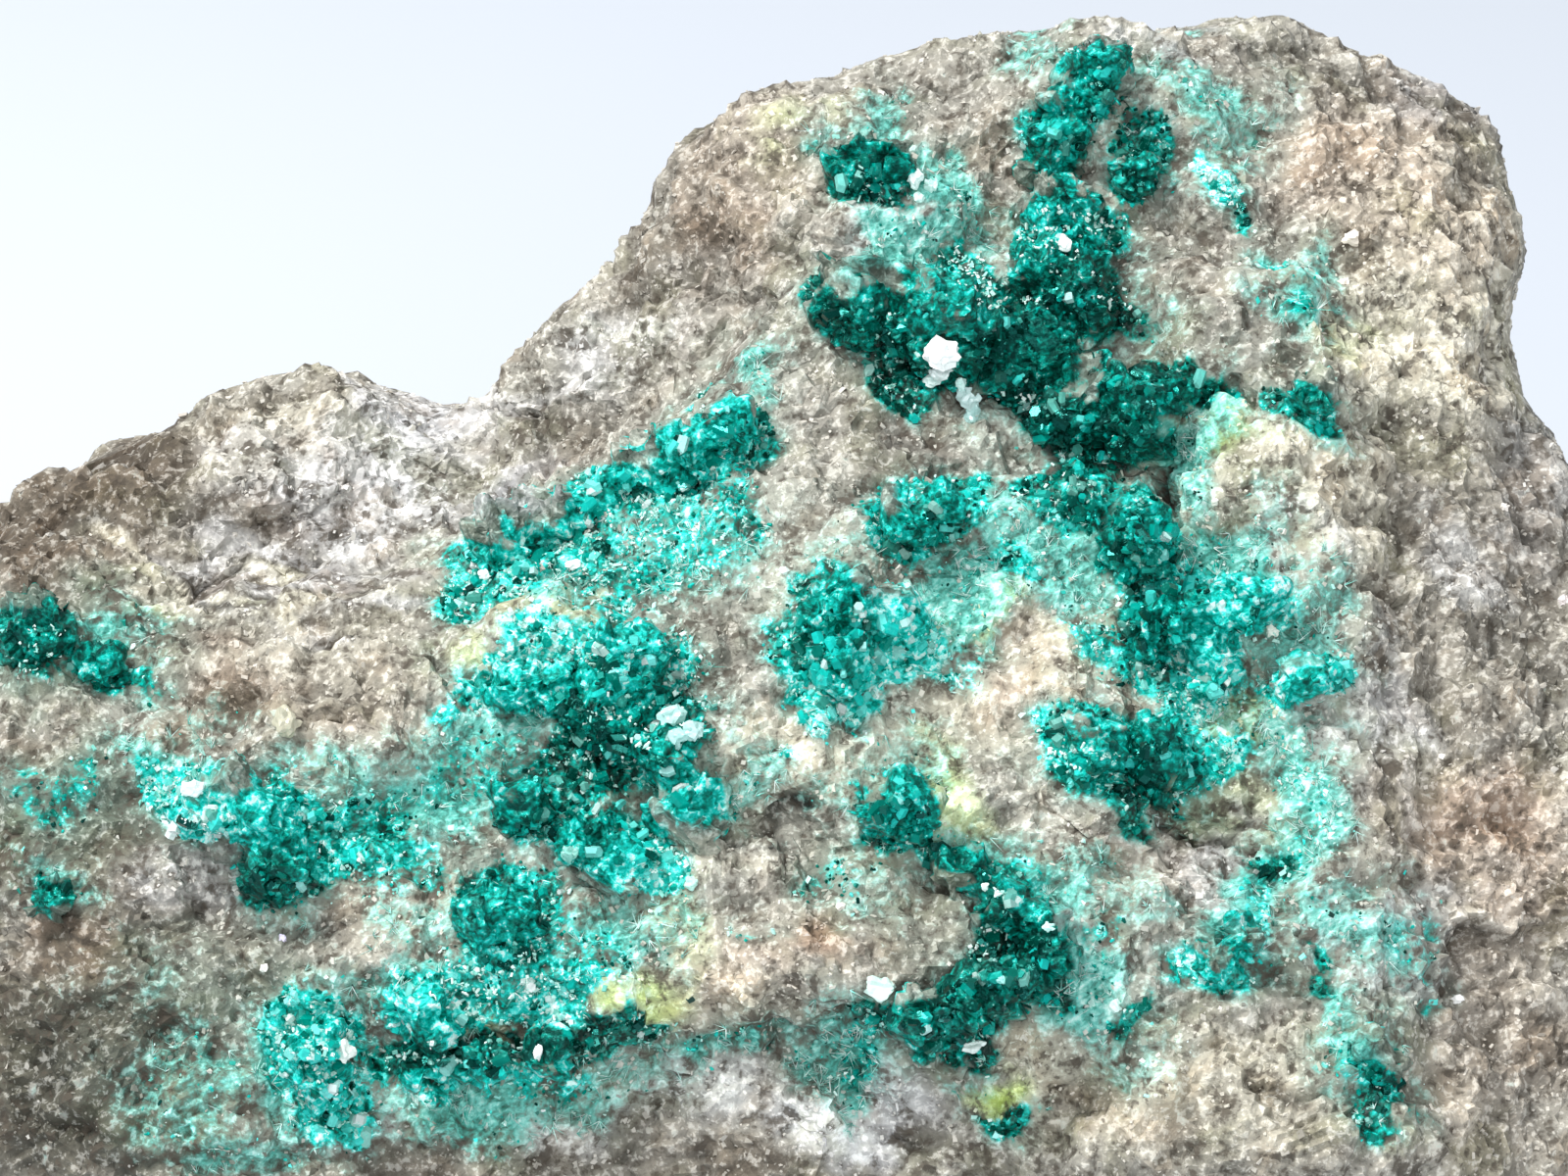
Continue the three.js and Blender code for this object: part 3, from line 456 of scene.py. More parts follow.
def greenOf(points, levels, powder):
    # dioptase from deep emerald to turquoise, with clouds of pale powder on it
    levels = levels + 0.22 * ripple(points, 1.2 * mm, 72) + 0.4 * ripple(points, 0.5 * mm, 73)
    clouded = np.clip((ripple(points, 1.3 * mm, 71) + powder * (0.4 + levels) - 1) * 2.5, 0, 1)[:, None]
    return shaded(levels, greenStops) * (1 - clouded) + shaded(levels + 0.2, paleStops) * clouded


# Camera, floor and light
studio = {
    "floorSize": 3.0,
    "floor": colour(196, 201, 208),
    "sky": colour(232, 240, 250),
    "skyStrength": 0.50,
    "key": {"size": 0.14, "watts": 2.5, "at": (-0.20, -0.04, 0.38), "aim": (0, 0, 0.02)},
    "front": {"size": 0.26, "watts": 0.9, "at": (0.06, -0.42, 0.22), "aim": (0, 0, 0.02)},
    "glints": [(-0.18, -0.22, 0.34), (0.16, -0.16, 0.40), (-0.02, -0.34, 0.30)],
    "glintSize": 0.012,
    "glintWatts": 0.10,
}


def aimed(thing, at, target):
    thing.location = at
    thing.rotation_euler = (Vector(target) - Vector(at)).to_track_quat("-Z", "Y").to_euler()


def lamp(name, size, watts, at, target):
    light = bpy.data.lights.new(name, "AREA")
    light.shape = "DISK"
    light.size = size
    light.energy = watts
    made = bpy.data.objects.new(name, light)
    bpy.context.scene.collection.objects.link(made)
    aimed(made, at, target)
    return made


def makeStudio():
    scene = bpy.context.scene
    camera = bpy.data.objects.new("camera", bpy.data.cameras.new("camera"))
    scene.collection.objects.link(camera)
    camera.data.sensor_width = picture["sensor"]
    shownWidth = picture["width"] / picture["pixelsPerMm"] * mm
    camera.data.lens = picture["sensor"] * picture["eyeDistance"] / shownWidth
    camera.data.clip_start = 0.01
    aimed(camera, Vector(eye), Vector(centre))
    scene.camera = camera

    bm = bmesh.new()
    bmesh.ops.create_grid(bm, x_segments=2, y_segments=2, size=studio["floorSize"] / 2)
    floorMesh = bpy.data.meshes.new("floor")
    bm.to_mesh(floorMesh)
    bm.free()
    floor = bpy.data.objects.new("floor", floorMesh)
    scene.collection.objects.link(floor)
    paper = Finish("pale floor")
    paper.set("Base Color", studio["floor"])
    paper.set("Roughness", 0.9)
    floorMesh.materials.append(paper.material)

    world = bpy.data.worlds.new("studio")
    scene.world = world
    world.use_nodes = True
    sky = world.node_tree.nodes["Background"]
    sky.inputs["Color"].default_value = studio["sky"]
    sky.inputs["Strength"].default_value = studio["skyStrength"]
    for name in ("key", "front"):
        light = studio[name]
        lamp(name + " light", light["size"], light["watts"], light["at"], light["aim"])
    for count, at in enumerate(studio["glints"]):
        lamp(f"glint {count}", studio["glintSize"], studio["glintWatts"], at, (0, 0, 0.02))
    scene.view_settings.view_transform = "Standard"
    scene.view_settings.look = "None"
    print("studio ready")


class Value:
    # a number's socket: sums on it add Math nodes
    def __init__(self, finish, socket):
        self.finish = finish
        self.socket = socket

    def maths(self, operation, first, second):
        return self.finish.node("ShaderNodeMath", {"operation": operation}, {0: first, 1: second})

    def __add__(self, other):
        return self.maths("ADD", self, other)

    def __radd__(self, other):
        return self.maths("ADD", other, self)

    def __sub__(self, other):
        return self.maths("SUBTRACT", self, other)

    def __rsub__(self, other):
        return self.maths("SUBTRACT", other, self)

    def __mul__(self, other):
        return self.maths("MULTIPLY", self, other)

    def __rmul__(self, other):
        return self.maths("MULTIPLY", other, self)

    def between(self, low, high):
        # 0 below low, 1 above high, smooth between them
        return self.finish.node(
            "ShaderNodeMapRange",
            {"interpolation_type": "SMOOTHSTEP"},
            {"Value": self, "From Min": low, "From Max": high},
        )


class Finish:
    # one material and its nodes
    def __init__(self, name):
        self.material = bpy.data.materials.new(name)
        self.material.use_nodes = True
        self.tree = self.material.node_tree
        self.shader = self.tree.nodes["Principled BSDF"]

    def node(self, kind, settings, inputs, output=0):
        made = self.tree.nodes.new(kind)
        for key, setting in settings.items():
            if key == "stops":
                self.setStops(made.color_ramp, setting)
            else:
                setattr(made, key, setting)
        for key, given in inputs.items():
            if isinstance(given, Value):
                self.tree.links.new(given.socket, made.inputs[key])
            else:
                made.inputs[key].default_value = given
        return Value(self, made.outputs[output])

    def setStops(self, ramp, stops):
        while len(ramp.elements) < len(stops):
            ramp.elements.new(0.5)
        for element, (place, shade) in zip(ramp.elements, stops):
            element.position = place
            element.color = shade

    def set(self, socket, given):
        if isinstance(given, Value):
            self.tree.links.new(given.socket, self.shader.inputs[socket])
        else:
            self.shader.inputs[socket].default_value = given

    def place(self):
        return self.node("ShaderNodeTexCoord", {}, {}, "Object")

    def attribute(self, name):
        return self.node("ShaderNodeAttribute", {"attribute_name": name}, {}, "Color")

    def stretched(self, vector, turn, scale):
        settings = {"vector_type": "TEXTURE"}
        return self.node("ShaderNodeMapping", settings, {"Vector": vector, "Rotation": turn, "Scale": scale})

    def noise(self, vector, size, detail=3, roughness=0.55, distortion=0.0):
        # a cloudy value between 0 and 1, with blots of the given size
        inputs = {"Vector": vector, "Scale": 1 / size, "Detail": detail, "Roughness": roughness}
        return self.node("ShaderNodeTexNoise", {}, {**inputs, "Distortion": distortion}, "Fac")

    def cells(self, vector, size):
        # a random colour for each cell of the given size
        return self.node("ShaderNodeTexVoronoi", {}, {"Vector": vector, "Scale": 1 / size}, "Color")

    def wobbled(self, vector, size, amount):
        # the place, pushed about by noise
        inputs = {"Vector": vector, "Scale": 1 / size, "Detail": 2}
        push = self.node("ShaderNodeTexNoise", {}, inputs, "Color")
        settings = {"operation": "MULTIPLY_ADD"}
        return self.node("ShaderNodeVectorMath", settings, {0: push, 1: (amount,) * 3, 2: vector})

    def part(self, shade, which):
        return self.node("ShaderNodeSeparateColor", {}, {"Color": shade}, which)

    def blend(self, factor, first, second, mode="MIX"):
        settings = {"data_type": "RGBA", "blend_type": mode}
        return self.node("ShaderNodeMix", settings, {0: factor, 6: first, 7: second}, 2)

    def ramp(self, factor, stops):
        return self.node("ShaderNodeValToRGB", {"stops": stops}, {"Fac": factor}, "Color")

    def brighter(self, shade, factor):
        # a colour times a number
        return self.node("ShaderNodeVectorMath", {"operation": "SCALE"}, {0: shade, "Scale": factor})

    def bump(self, height, strength, distance):
        inputs = {"Height": height, "Strength": strength, "Distance": distance}
        self.set("Normal", self.node("ShaderNodeBump", {}, inputs, "Normal"))


dioptaseIor = 1.66        # index of refraction
stone = {
    # sizes of the blots and cells of its pattern
    "wobble": 0.5 * mm,
    "wobbleReach": 0.14 * mm,
    "coarse": 0.62 * mm,
    "fine": 0.30 * mm,
    "drift": 3.1 * mm,
    "clouds": 2.4 * mm,
    "mottle": 0.9 * mm,
    "flecks": 0.36 * mm,
    "streaks": 0.20 * mm,
    "grit": 0.16 * mm,
    "flake": colour(232, 230, 222),
    "gap": colour(78, 70, 60),
    "glitter": colour(206, 246, 236),
    "gloss": colour(90, 236, 220),
    "warm": colour(244, 224, 204),
    "olive": colour(230, 232, 204),
    "deepStops": [
        (0.0, colour(0, 36, 28)), (0.2, colour(0, 82, 68)), (0.46, colour(0, 146, 130)),
        (0.66, colour(8, 198, 186)), (0.84, colour(96, 230, 220)), (1.0, colour(226, 250, 244))],
    "paleStops": [
        (0.0, colour(26, 84, 72)), (0.28, colour(58, 144, 130)), (0.5, colour(92, 192, 178)),
        (0.7, colour(150, 218, 206)), (1.0, colour(240, 250, 246))],
}


def stoneFinish(name, crystalline):
    # granular rock, with green on it where the patches say so. Its clouds, specks and cells lie around 0
    rock = Finish(name)
    here = rock.wobbled(rock.place(), stone["wobble"], stone["wobbleReach"])
    tone = rock.attribute("tone")
    greens = rock.attribute("greens")
    deep = rock.part(greens, "Red")
    pale = rock.part(greens, "Green")
    bright = rock.part(greens, "Blue")
    coarse = rock.part(rock.cells(here, stone["coarse"]), "Red") - 0.5
    fine = rock.part(rock.cells(here, stone["fine"]), "Green") - 0.5
    clouds = rock.noise(here, stone["clouds"], detail=4, roughness=0.6) - 0.5
    mottle = rock.noise(here, stone["mottle"], detail=4, roughness=0.62, distortion=0.3) - 0.5
    flecks = rock.noise(here, stone["flecks"], detail=3, roughness=0.6, distortion=0.2) - 0.5
    grit = rock.noise(here, stone["grit"], detail=2, roughness=0.6) - 0.5
    level = 0.81 + 1.3 * clouds + 1.4 * mottle + 0.9 * flecks + 0.2 * grit + 0.16 * coarse + 0.1 * fine
    shade = rock.brighter(tone, level)
    drift = rock.noise(here, stone["drift"], detail=3)
    for tint, high in (("warm", 0.7), ("olive", 0.3)):
        tinted = rock.blend(1.0, shade, stone[tint], "MULTIPLY")
        shade = rock.blend(0.5 * drift.between(0.5, high), shade, tinted)
    gaps = (0.5 * mottle + 0.5 * flecks + 0.3 * clouds + 0.1 * coarse).between(-0.04, -0.12)
    shade = rock.blend(0.7 * gaps, shade, stone["gap"])
    spots = (flecks + 0.4 * mottle + 0.3 * clouds + 0.1 * fine + 0.3 * grit).between(0.04, 0.17)
    lit = rock.blend(0.28, rock.brighter(tone, 1.6), stone["flake"])
    shade = rock.blend(0.72 * spots, shade, lit)

    along = rock.stretched(here, (0.4, 0.9, 0.6), (1, 1, 3))
    streaks = rock.noise(along, stone["streaks"], detail=2, roughness=0.6) - 0.5
    broken = 0.9 * mottle + 0.8 * flecks
    paleAmount = (pale + broken).between(0.16, 0.66)
    paleLevel = 0.29 + 0.5 * rock.part(tone, "Green") + streaks + flecks + 1.2 * mottle
    shade = rock.blend(0.84 * paleAmount, shade, rock.ramp(paleLevel, stone["paleStops"]))
    deepAmount = (deep + 0.7 * broken).between(0.36, 0.62)
    deepLevel = 0.1 + 0.68 * bright + 1.7 * mottle + 0.7 * streaks + 1.9 * flecks
    shade = rock.blend(deepAmount, shade, rock.ramp(deepLevel, stone["deepStops"]))
    # painted glints: near-white specks over the deep green
    glitter = (flecks + 0.4 * grit + 0.5 * mottle + 0.12 * bright).between(0.2, 0.28)
    shade = rock.blend(0.75 * glitter * deepAmount, shade, stone["glitter"])
    rock.set("Base Color", shade)
    rock.set("Roughness", 0.85 - 0.25 * spots - 0.4 * deepAmount)
    rock.bump(0.4 * coarse + 0.15 * fine + 0.2 * grit + 1.4 * mottle + flecks, 0.8, 0.12 * mm)
    if crystalline:
        rock.set("IOR", dioptaseIor)
        rock.set("Transmission Weight", 0.2)
        rock.set("Specular Tint", stone["gloss"])
    else:
        rock.set("Specular IOR Level", 0.3)
    return rock.material


def grainFinish():
    # loose and half-set grains of quartz, feldspar and calcite, each with a tint of its own
    grain = Finish("rock grains")
    here = grain.place()
    cloud = grain.noise(here, 0.3 * mm, detail=4, roughness=0.7)
    grain.set("Base Color", grain.brighter(grain.attribute("tint"), 0.72 + 0.6 * cloud))
    grain.set("Roughness", 0.35 + 0.5 * cloud)
    grain.bump(cloud, 0.5, 0.05 * mm)
    return grain.material


glass = {
    "veil": 0.7 * mm,
    "vein": colour(96, 226, 208),
    "gloss": colour(90, 236, 220),
    "roughness": 0.05,
    "clear": 0.35,
    "bump": 0.25,
}


def crystalFinish(name, settings):
    # dioptase: a glassy green with cloudy veils, and here and there a pale vein
    crystal = Finish(name)
    here = crystal.place()
    veil = crystal.noise(here, settings["veil"], detail=5, roughness=0.7, distortion=0.6)
    lines = crystal.noise(crystal.stretched(here, (0.5, 0.2, 0.7), (1, 1, 4)), 0.12 * mm, detail=3)
    shade = crystal.brighter(crystal.attribute("tint"), 0.30 + 1.4 * veil)
    veins = (0.6 * veil + 0.6 * lines).between(0.66, 0.78)
    shade = crystal.blend(0.6 * veins, shade, settings["vein"])
    crystal.set("Base Color", shade)
    crystal.set("Roughness", settings["roughness"] + 0.14 * veil)
    crystal.set("IOR", dioptaseIor)
    crystal.set("Transmission Weight", settings["clear"])
    crystal.set("Specular Tint", settings["gloss"])
    crystal.bump(0.7 * veil + 0.5 * lines, settings["bump"], 0.06 * mm)
    return crystal.material


def meshObject(name, mesh):
    made = bpy.data.objects.new(name, mesh)
    bpy.context.scene.collection.objects.link(made)
    return made


def addColours(mesh, name, colours):
    layer = mesh.attributes.new(name, "FLOAT_COLOR", "POINT")
    full = np.ones((len(colours), 4), np.float32)
    full[:, :colours.shape[1]] = colours
    layer.data.foreach_set("color", full.ravel())


# The matrix: a finer copy of its solid, roughened grain by grain
rockSettings = {
    "frontEdge": 0.50 * mm,       # longest mesh edge where the picture sees it
    "backEdge": 1.3 * mm,
    "rounding": 2,                # how many times its corners are smoothed
    "swell": [(6.0 * mm, 0.26 * mm), (2.4 * mm, 0.20 * mm)],   # wavelength and height of the soft relief
    # facets and grains: size, how far they stand out, depth of the crevice between them
    "grains": [(4.2 * mm, 0.34 * mm, 0.0), (1.9 * mm, 0.22 * mm, 0.06 * mm), (0.9 * mm, 0.13 * mm, 0.08 * mm),
               (0.5 * mm, 0.10 * mm, 0.08 * mm)],
    "footHeight": 0.5 * mm,
    "edgeOn": 0.35,               # share of the relief that is left where the eye sees the surface edge-on
    "cavity": 1.3 * mm,           # relief over which the rock goes from painted shade in its hollows to a painted lighter tone on its rises
}
pits = [
    # x, y, half-width, half-height, turn in pixels, depth in millimetres
    (742, 842, 20, 8, 0, 0.5), (796, 838, 26, 10, 0, 0.7), (1255, 392, 36, 11, 5, 0.9),
    (1192, 512, 14, 16, 0, 0.8), (860, 738, 20, 10, 0, 0.6), (1320, 352, 16, 10, 0, 0.6),
    (1205, 842, 62, 8, 6, 0.6), (595, 600, 13, 13, 0, 0.6), (240, 705, 30, 12, 35, 0.6),
    (1408, 597, 20, 7, 40, 0.6), (1225, 838, 20, 8, 0, 0.8),
]
creases = [
    # a line of pixels, its half-width, and how far the rock stands out along it (or in) in millimetres
    ([(1445, 985), (1520, 950), (1600, 905)], 12, 0.4),
    ([(1440, 1010), (1520, 980), (1600, 940)], 16, -0.4),
    ([(1345, 345), (1352, 450), (1330, 560)], 9, 0.35),
    ([(1432, 600), (1448, 720), (1440, 830)], 12, 0.2),
    ([(1530, 480), (1560, 580), (1600, 650)], 10, -0.4),
    ([(1540, 700), (1580, 760), (1600, 800)], 9, 0.35),
    ([(380, 1108), (600, 1082), (760, 1074), (880, 1046), (1000, 1078)], 9, -0.5),
    ([(1205, 836), (1270, 860)], 6, -0.6),
    ([(1185, 490), (1205, 530)], 8, -0.7),
    ([(1240, 386), (1290, 400)], 7, -0.6),
    ([(288, 775), (312, 738), (360, 716)], 6, -0.45),
    ([(1370, 60), (1450, 84), (1500, 130)], 9, -0.35),
    ([(690, 170), (660, 240), (620, 300)], 10, -0.3),
    ([(500, 410), (560, 400), (640, 330)], 9, 0.35),
    ([(760, 300), (800, 380), (870, 430)], 9, -0.3),
    ([(1290, 1115), (1340, 1108), (1375, 1118)], 6, -0.5),
    ([(60, 1130), (200, 1160), (420, 1150), (700, 1120)], 12, 0.35),
]


mostHalvings = 8          # rounds in which the edges that are too long are halved


def finer(node, seenEdge, hiddenEdge, rounding, footHeight):
    # a merged copy of a solid with short edges, shorter where the picture sees it, and its corners softened
    bm = bmesh.new()
    bm.from_mesh(node.data)
    bmesh.ops.remove_doubles(bm, verts=bm.verts, dist=0.001 * mm)
    for attempt in range(mostHalvings):
        edges = list(bm.edges)
        ends = np.array([(*edge.verts[0].co, *edge.verts[1].co) for edge in edges])
        middles = (ends[:, :3] + ends[:, 3:]) / 2
        lengths = np.linalg.norm(ends[:, :3] - ends[:, 3:], axis=1)
        normals = np.array([tuple(edge.verts[0].normal) for edge in edges])
        limit = np.where(inView(middles, normals), seenEdge, hiddenEdge)
        long = [edges[i] for i in np.nonzero(lengths > limit)[0]]
        if not long:
            break
        bmesh.ops.subdivide_edges(bm, edges=long, cuts=1)
        bmesh.ops.triangulate(bm, faces=bm.faces[:])
        bm.normal_update()
    for attempt in range(rounding):
        loose = [v for v in bm.verts if v.co.z > footHeight]
        bmesh.ops.smooth_vert(bm, verts=loose, factor=0.5, use_axis_x=True, use_axis_y=True, use_axis_z=True)
    bm.normal_update()
    points = np.array([tuple(v.co) for v in bm.verts])
    normals = np.array([tuple(v.normal) for v in bm.verts])
    return bm, points, normals


def inView(points, normals):
    # True where a surface faces the eye and lies in the picture
    pixels = pixelsOf(points)
    margin = picture["margin"]
    inside = (pixels[:, 0] > -margin) & (pixels[:, 0] < picture["width"] + margin)
    return inside & (pixels[:, 1] < picture["height"] + margin) & (normals @ outward > -0.1)


def settled(bm, name, points):
    # moves a mesh's points to their new places, inside the solids' box, and makes it a piece
    low, high = (np.array(corner) for corner in solidsBox)
    for v, point in zip(bm.verts, np.clip(points, low, high)):
        v.co = point
    mesh = bpy.data.meshes.new(name)
    bm.to_mesh(mesh)
    bm.free()
    piece = meshObject(name, mesh)
    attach(piece, "root")
    return piece


def greensOf(found):
    # the three greens as one colour attribute, which the shader takes apart again
    return np.stack((found["deep"], found["pale"], found["bright"]), axis=1)


def roughRock():
    bm, points, normals = finer(
        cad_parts["matrix"], rockSettings["frontEdge"], rockSettings["backEdge"],
        rockSettings["rounding"], rockSettings["footHeight"])
    rise = np.zeros(len(points))
    for count, (wavelength, height) in enumerate(rockSettings["swell"]):
        rise += height * ripple(points, wavelength, 41 + count)
    for size, height, crevice in rockSettings["grains"]:
        rise += grainHeights(points, size, height, crevice)
    for x, y, halfWidth, halfHeight, turn, depth in pits:
        hollow, _ = within(wandering(points), [(x, y, halfWidth, halfHeight, turn, 1)], 0.5)
        rise -= depth * mm * hollow * (normals @ outward > 0)
    pixels = wandering(points)
    for line, halfWidth, height in creases:
        rise += height * mm * alongLine(pixels, line, halfWidth) * (normals @ outward > 0)
    rise *= np.clip(points[:, 2] / rockSettings["footHeight"], 0, 1)
    rise *= np.clip(np.abs(normals @ outward) / 0.4, rockSettings["edgeOn"], 1)
    rock = settled(bm, "rough_rock", points + normals * rise[:, None])
    mesh = rock.data
    points, normals = pointsAndNormals(mesh)
    found = colouring(points, normals)
    # painted shade and light: the tone is darkened in the hollows of the relief and lightened on its rises
    height = np.clip(0.5 + rise / rockSettings["cavity"], 0, 1)
    addColours(mesh, "tone", found["tone"] * (0.56 + 0.7 * height)[:, None])
    addColours(mesh, "greens", greensOf(found))
    mesh.materials.append(stoneFinish("granular rock", False))
    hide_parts("matrix")
    print("rock:", len(mesh.polygons), "triangles")
    return rock


def grainHeights(points, size, height, crevice):
    # each grain is a flat facet with its own tilt and level, and crevices run between grains
    heights = np.zeros(len(points))
    for i, point in enumerate(points):
        distances, centres = noise.voronoi(Vector(point) / size)
        own = noise.cell_vector(centres[0] * 7.3)       # the same three random numbers all over one grain
        offset = Vector(point) / size - centres[0]
        edge = min(1.0, (distances[1] - distances[0]) * 4)
        heights[i] = height * (own.x * 0.7 + 1.3 * own.dot(offset)) - crevice * (1 - edge)
    return heights


def pointsAndNormals(mesh):
    count = len(mesh.vertices)
    points = np.zeros(count * 3)
    normals = np.zeros(count * 3)
    mesh.vertices.foreach_get("co", points)
    mesh.vertices.foreach_get("normal", normals)
    return points.reshape(-1, 3), normals.reshape(-1, 3)


class Ground:
    # the surface that small things are seated on: random points, fewer of them where the picture doesn't look
    def __init__(self, objects, hiddenShare):
        corners = []
        for thing in objects:
            mesh = thing.data
            mesh.calc_loop_triangles()
            points, _ = pointsAndNormals(mesh)
            triangles = np.zeros(len(mesh.loop_triangles) * 3, np.int32)
            mesh.loop_triangles.foreach_get("vertices", triangles)
            corners.append(points[triangles.reshape(-1, 3)])
        self.corners = np.concatenate(corners)
        sides = self.corners[:, 1:] - self.corners[:, :1]
        cross = np.cross(sides[:, 0], sides[:, 1])
        areas = np.linalg.norm(cross, axis=1) / 2
        self.normals = cross / np.maximum(2 * areas, 1e-16)[:, None]
        seen = inView(self.corners.mean(axis=1), self.normals)
        self.chances = areas * np.where(seen, 1, hiddenShare)
        self.chances /= self.chances.sum()

    def scatter(self, count, seed):
        draw = np.random.default_rng(seed)
        chosen = draw.choice(len(self.chances), count, p=self.chances)
        mix = draw.dirichlet((1, 1, 1), count)
        points = (self.corners[chosen] * mix[:, :, None]).sum(axis=1)
        return points, self.normals[chosen]


def turned(directions, spins):
    # for each direction, the three axes of a piece that stands along it, spun about it
    helper = np.where(np.abs(directions[:, 2:]) < 0.9, (0.0, 0.0, 1.0), (1.0, 0.0, 0.0))
    first = unit(np.cross(helper, directions))
    second = np.cross(directions, first)
    cosine = np.cos(spins)[:, None]
    sine = np.sin(spins)[:, None]
    return np.stack((first * cosine + second * sine, second * cosine - first * sine, directions), axis=1)


def strewn(ground, settings):
    # random places to choose from, many times as many as are wanted, and what the patches say of each
    draw = np.random.default_rng(settings["seed"])
    points, normals = ground.scatter(settings["count"] * settings["tries"], settings["seed"])
    return draw, points, normals, colouring(points, normals)


def joined(name, corners, faces, tints, material):
    # one mesh of many small pieces: corners is pieces by corners by 3, and faces are one piece's own
    count, size = corners.shape[:2]
    allFaces = []
    for i in range(count):
        start = i * size
        allFaces.extend(tuple(start + corner for corner in face) for face in faces)
    points = corners.reshape(-1, 3)
    low, high = (np.array(corner) for corner in solidsBox)
    mesh = bpy.data.meshes.new(name)
    mesh.from_pydata(np.clip(points, low, high).tolist(), [], allFaces)
    addColours(mesh, "tint", np.repeat(tints, size, axis=0))
    mesh.materials.append(material)
    piece = meshObject(name, mesh)
    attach(piece, "root")
    triangles = sum(len(face) - 2 for face in faces) * count
    print(name + ":", count, "pieces,", triangles, "triangles")
    return piece


# The larger crystals: each solid gets rounded corners and the stepped faces of crystals grown together
masses = {
    "edge": 0.30 * mm,            # longest mesh edge
    "rounding": 5,
    "steps": [(1.6 * mm, 0.36 * mm), (0.8 * mm, 0.20 * mm)],   # size of a face and how far it stands out
    "crevice": 0.05 * mm,
    "sink": 0.32 * mm,            # how far a mass stays inside its solid before its faces are stepped
    "own": 0.22,                  # green that a mass has even where the patches leave it bare
}


def crystalMass(node, material):
    name = node.name.replace("dioptase_", "") + "_crystals"
    bm, points, normals = finer(node, masses["edge"], masses["edge"], masses["rounding"], 0)
    rise = np.full(len(points), -masses["sink"])
    for size, height in masses["steps"]:
        rise += grainHeights(points, size, height, masses["crevice"])
    piece = settled(bm, name, points + normals * rise[:, None])
    points, normals = pointsAndNormals(piece.data)
    found = colouring(points, normals)
    turnedAway = np.clip(0.6 - 2 * (normals @ outward), 0, 1)
    found["deep"] = np.clip(np.maximum(found["deep"] + masses["own"], 0.95 * turnedAway), 0, 1)
    addColours(piece.data, "tone", found["tone"])
    addColours(piece.data, "greens", greensOf(found))
    piece.data.materials.append(material)
    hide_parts(node.name)
    return piece


# Small dioptase crystals: a six-sided prism with three rhomb faces at its tip
prismFaces = [(i, (i + 1) % 6, 6 + (i + 1) % 6, 6 + i) for i in range(6)]
prismFaces += [(12, 6 + (2 * i - 1) % 6, 6 + 2 * i, 6 + 2 * i + 1) for i in range(3)]
prismFaces += [(5, 4, 3, 2, 1, 0)]
rhombSlope = 1.23


def prisms(points, directions, spins, radii, lengths):
    angles = np.arange(6) * math.pi / 3
    ring = np.stack((np.cos(angles), np.sin(angles)), axis=1)
    drop = np.where(np.arange(6) % 2 == 0, 1.0, 0.5) * rhombSlope
    corners = np.zeros((len(points), 13, 3))
    corners[:, :6, :2] = ring[None] * radii[:, None, None] * 0.9
    corners[:, 6:12, :2] = ring[None] * radii[:, None, None]
    corners[:, 6:12, 2] = lengths[:, None] - drop[None] * radii[:, None]
    corners[:, 12, 2] = lengths
    return np.einsum("nck,nkj->ncj", corners, turned(directions, spins)) + points[:, None, :]


druse = {
    "deep": {"count": 7000, "tries": 8, "radius": (0.07 * mm, 0.30 * mm), "slender": (1.2, 2.4), "seed": 3,
             "lift": 0.0, "bright": 0.85, "spread": 0.14, "powder": 0.3},
    "pale": {"count": 2800, "tries": 8, "radius": (0.04 * mm, 0.13 * mm), "slender": (1.4, 3.0), "seed": 4,
             "lift": 0.25, "bright": 0.4, "spread": 0.2, "powder": 1.0},
    "fewLarge": 2.6,              # the higher, the fewer of them are large
    "lean": 0.75,
    "sink": 0.6,
}


def crystalCrust(name, ground, wanted, material):
    settings = druse[wanted]
    draw, points, normals, found = strewn(ground, settings)
    amount = found[wanted]
    kept = np.nonzero(draw.uniform(0.25, 1.0, len(points)) < amount)[0][:settings["count"]]
    points = points[kept]
    normals = normals[kept]
    count = len(kept)
    directions = unit(normals + druse["lean"] * draw.normal(size=(count, 3)))
    small, large = settings["radius"]
    room = np.clip(1.6 * amount[kept] - 0.6, 0.1, 1)        # they are smaller where the green thins out
    radii = small + (large - small) * draw.random(count) ** druse["fewLarge"] * room
    lengths = radii * draw.uniform(*settings["slender"], count) + rhombSlope * radii
    starts = points - directions * (lengths * druse["sink"])[:, None]
    corners = prisms(starts, directions, draw.uniform(0, 2 * math.pi, count), radii, lengths)
    levels = settings["lift"] + settings["bright"] * found["bright"][kept]
    levels += settings["spread"] * draw.normal(size=count)
    tints = greenOf(points, levels, settings["powder"])
    return joined(name, corners, prismFaces, tints, material)


# Fibres: fine needles in sheaves, pale turquoise, over the stained rock
fibres = {
    "count": 2400,
    "tries": 8,
    "needles": 8,                 # in each sheaf
    "length": (0.25 * mm, 0.80 * mm),
    "width": 0.022 * mm,
    "rise": 0.35,                 # how steeply they stand off the rock
    "fan": 0.55,
    "inDeep": 0.45,               # their length among the dark crystals, as a share
    "lift": 0.05 * mm,
    "seed": 8,
}
needleFaces = [(0, 1, 3), (1, 2, 3), (2, 0, 3), (2, 1, 0)]


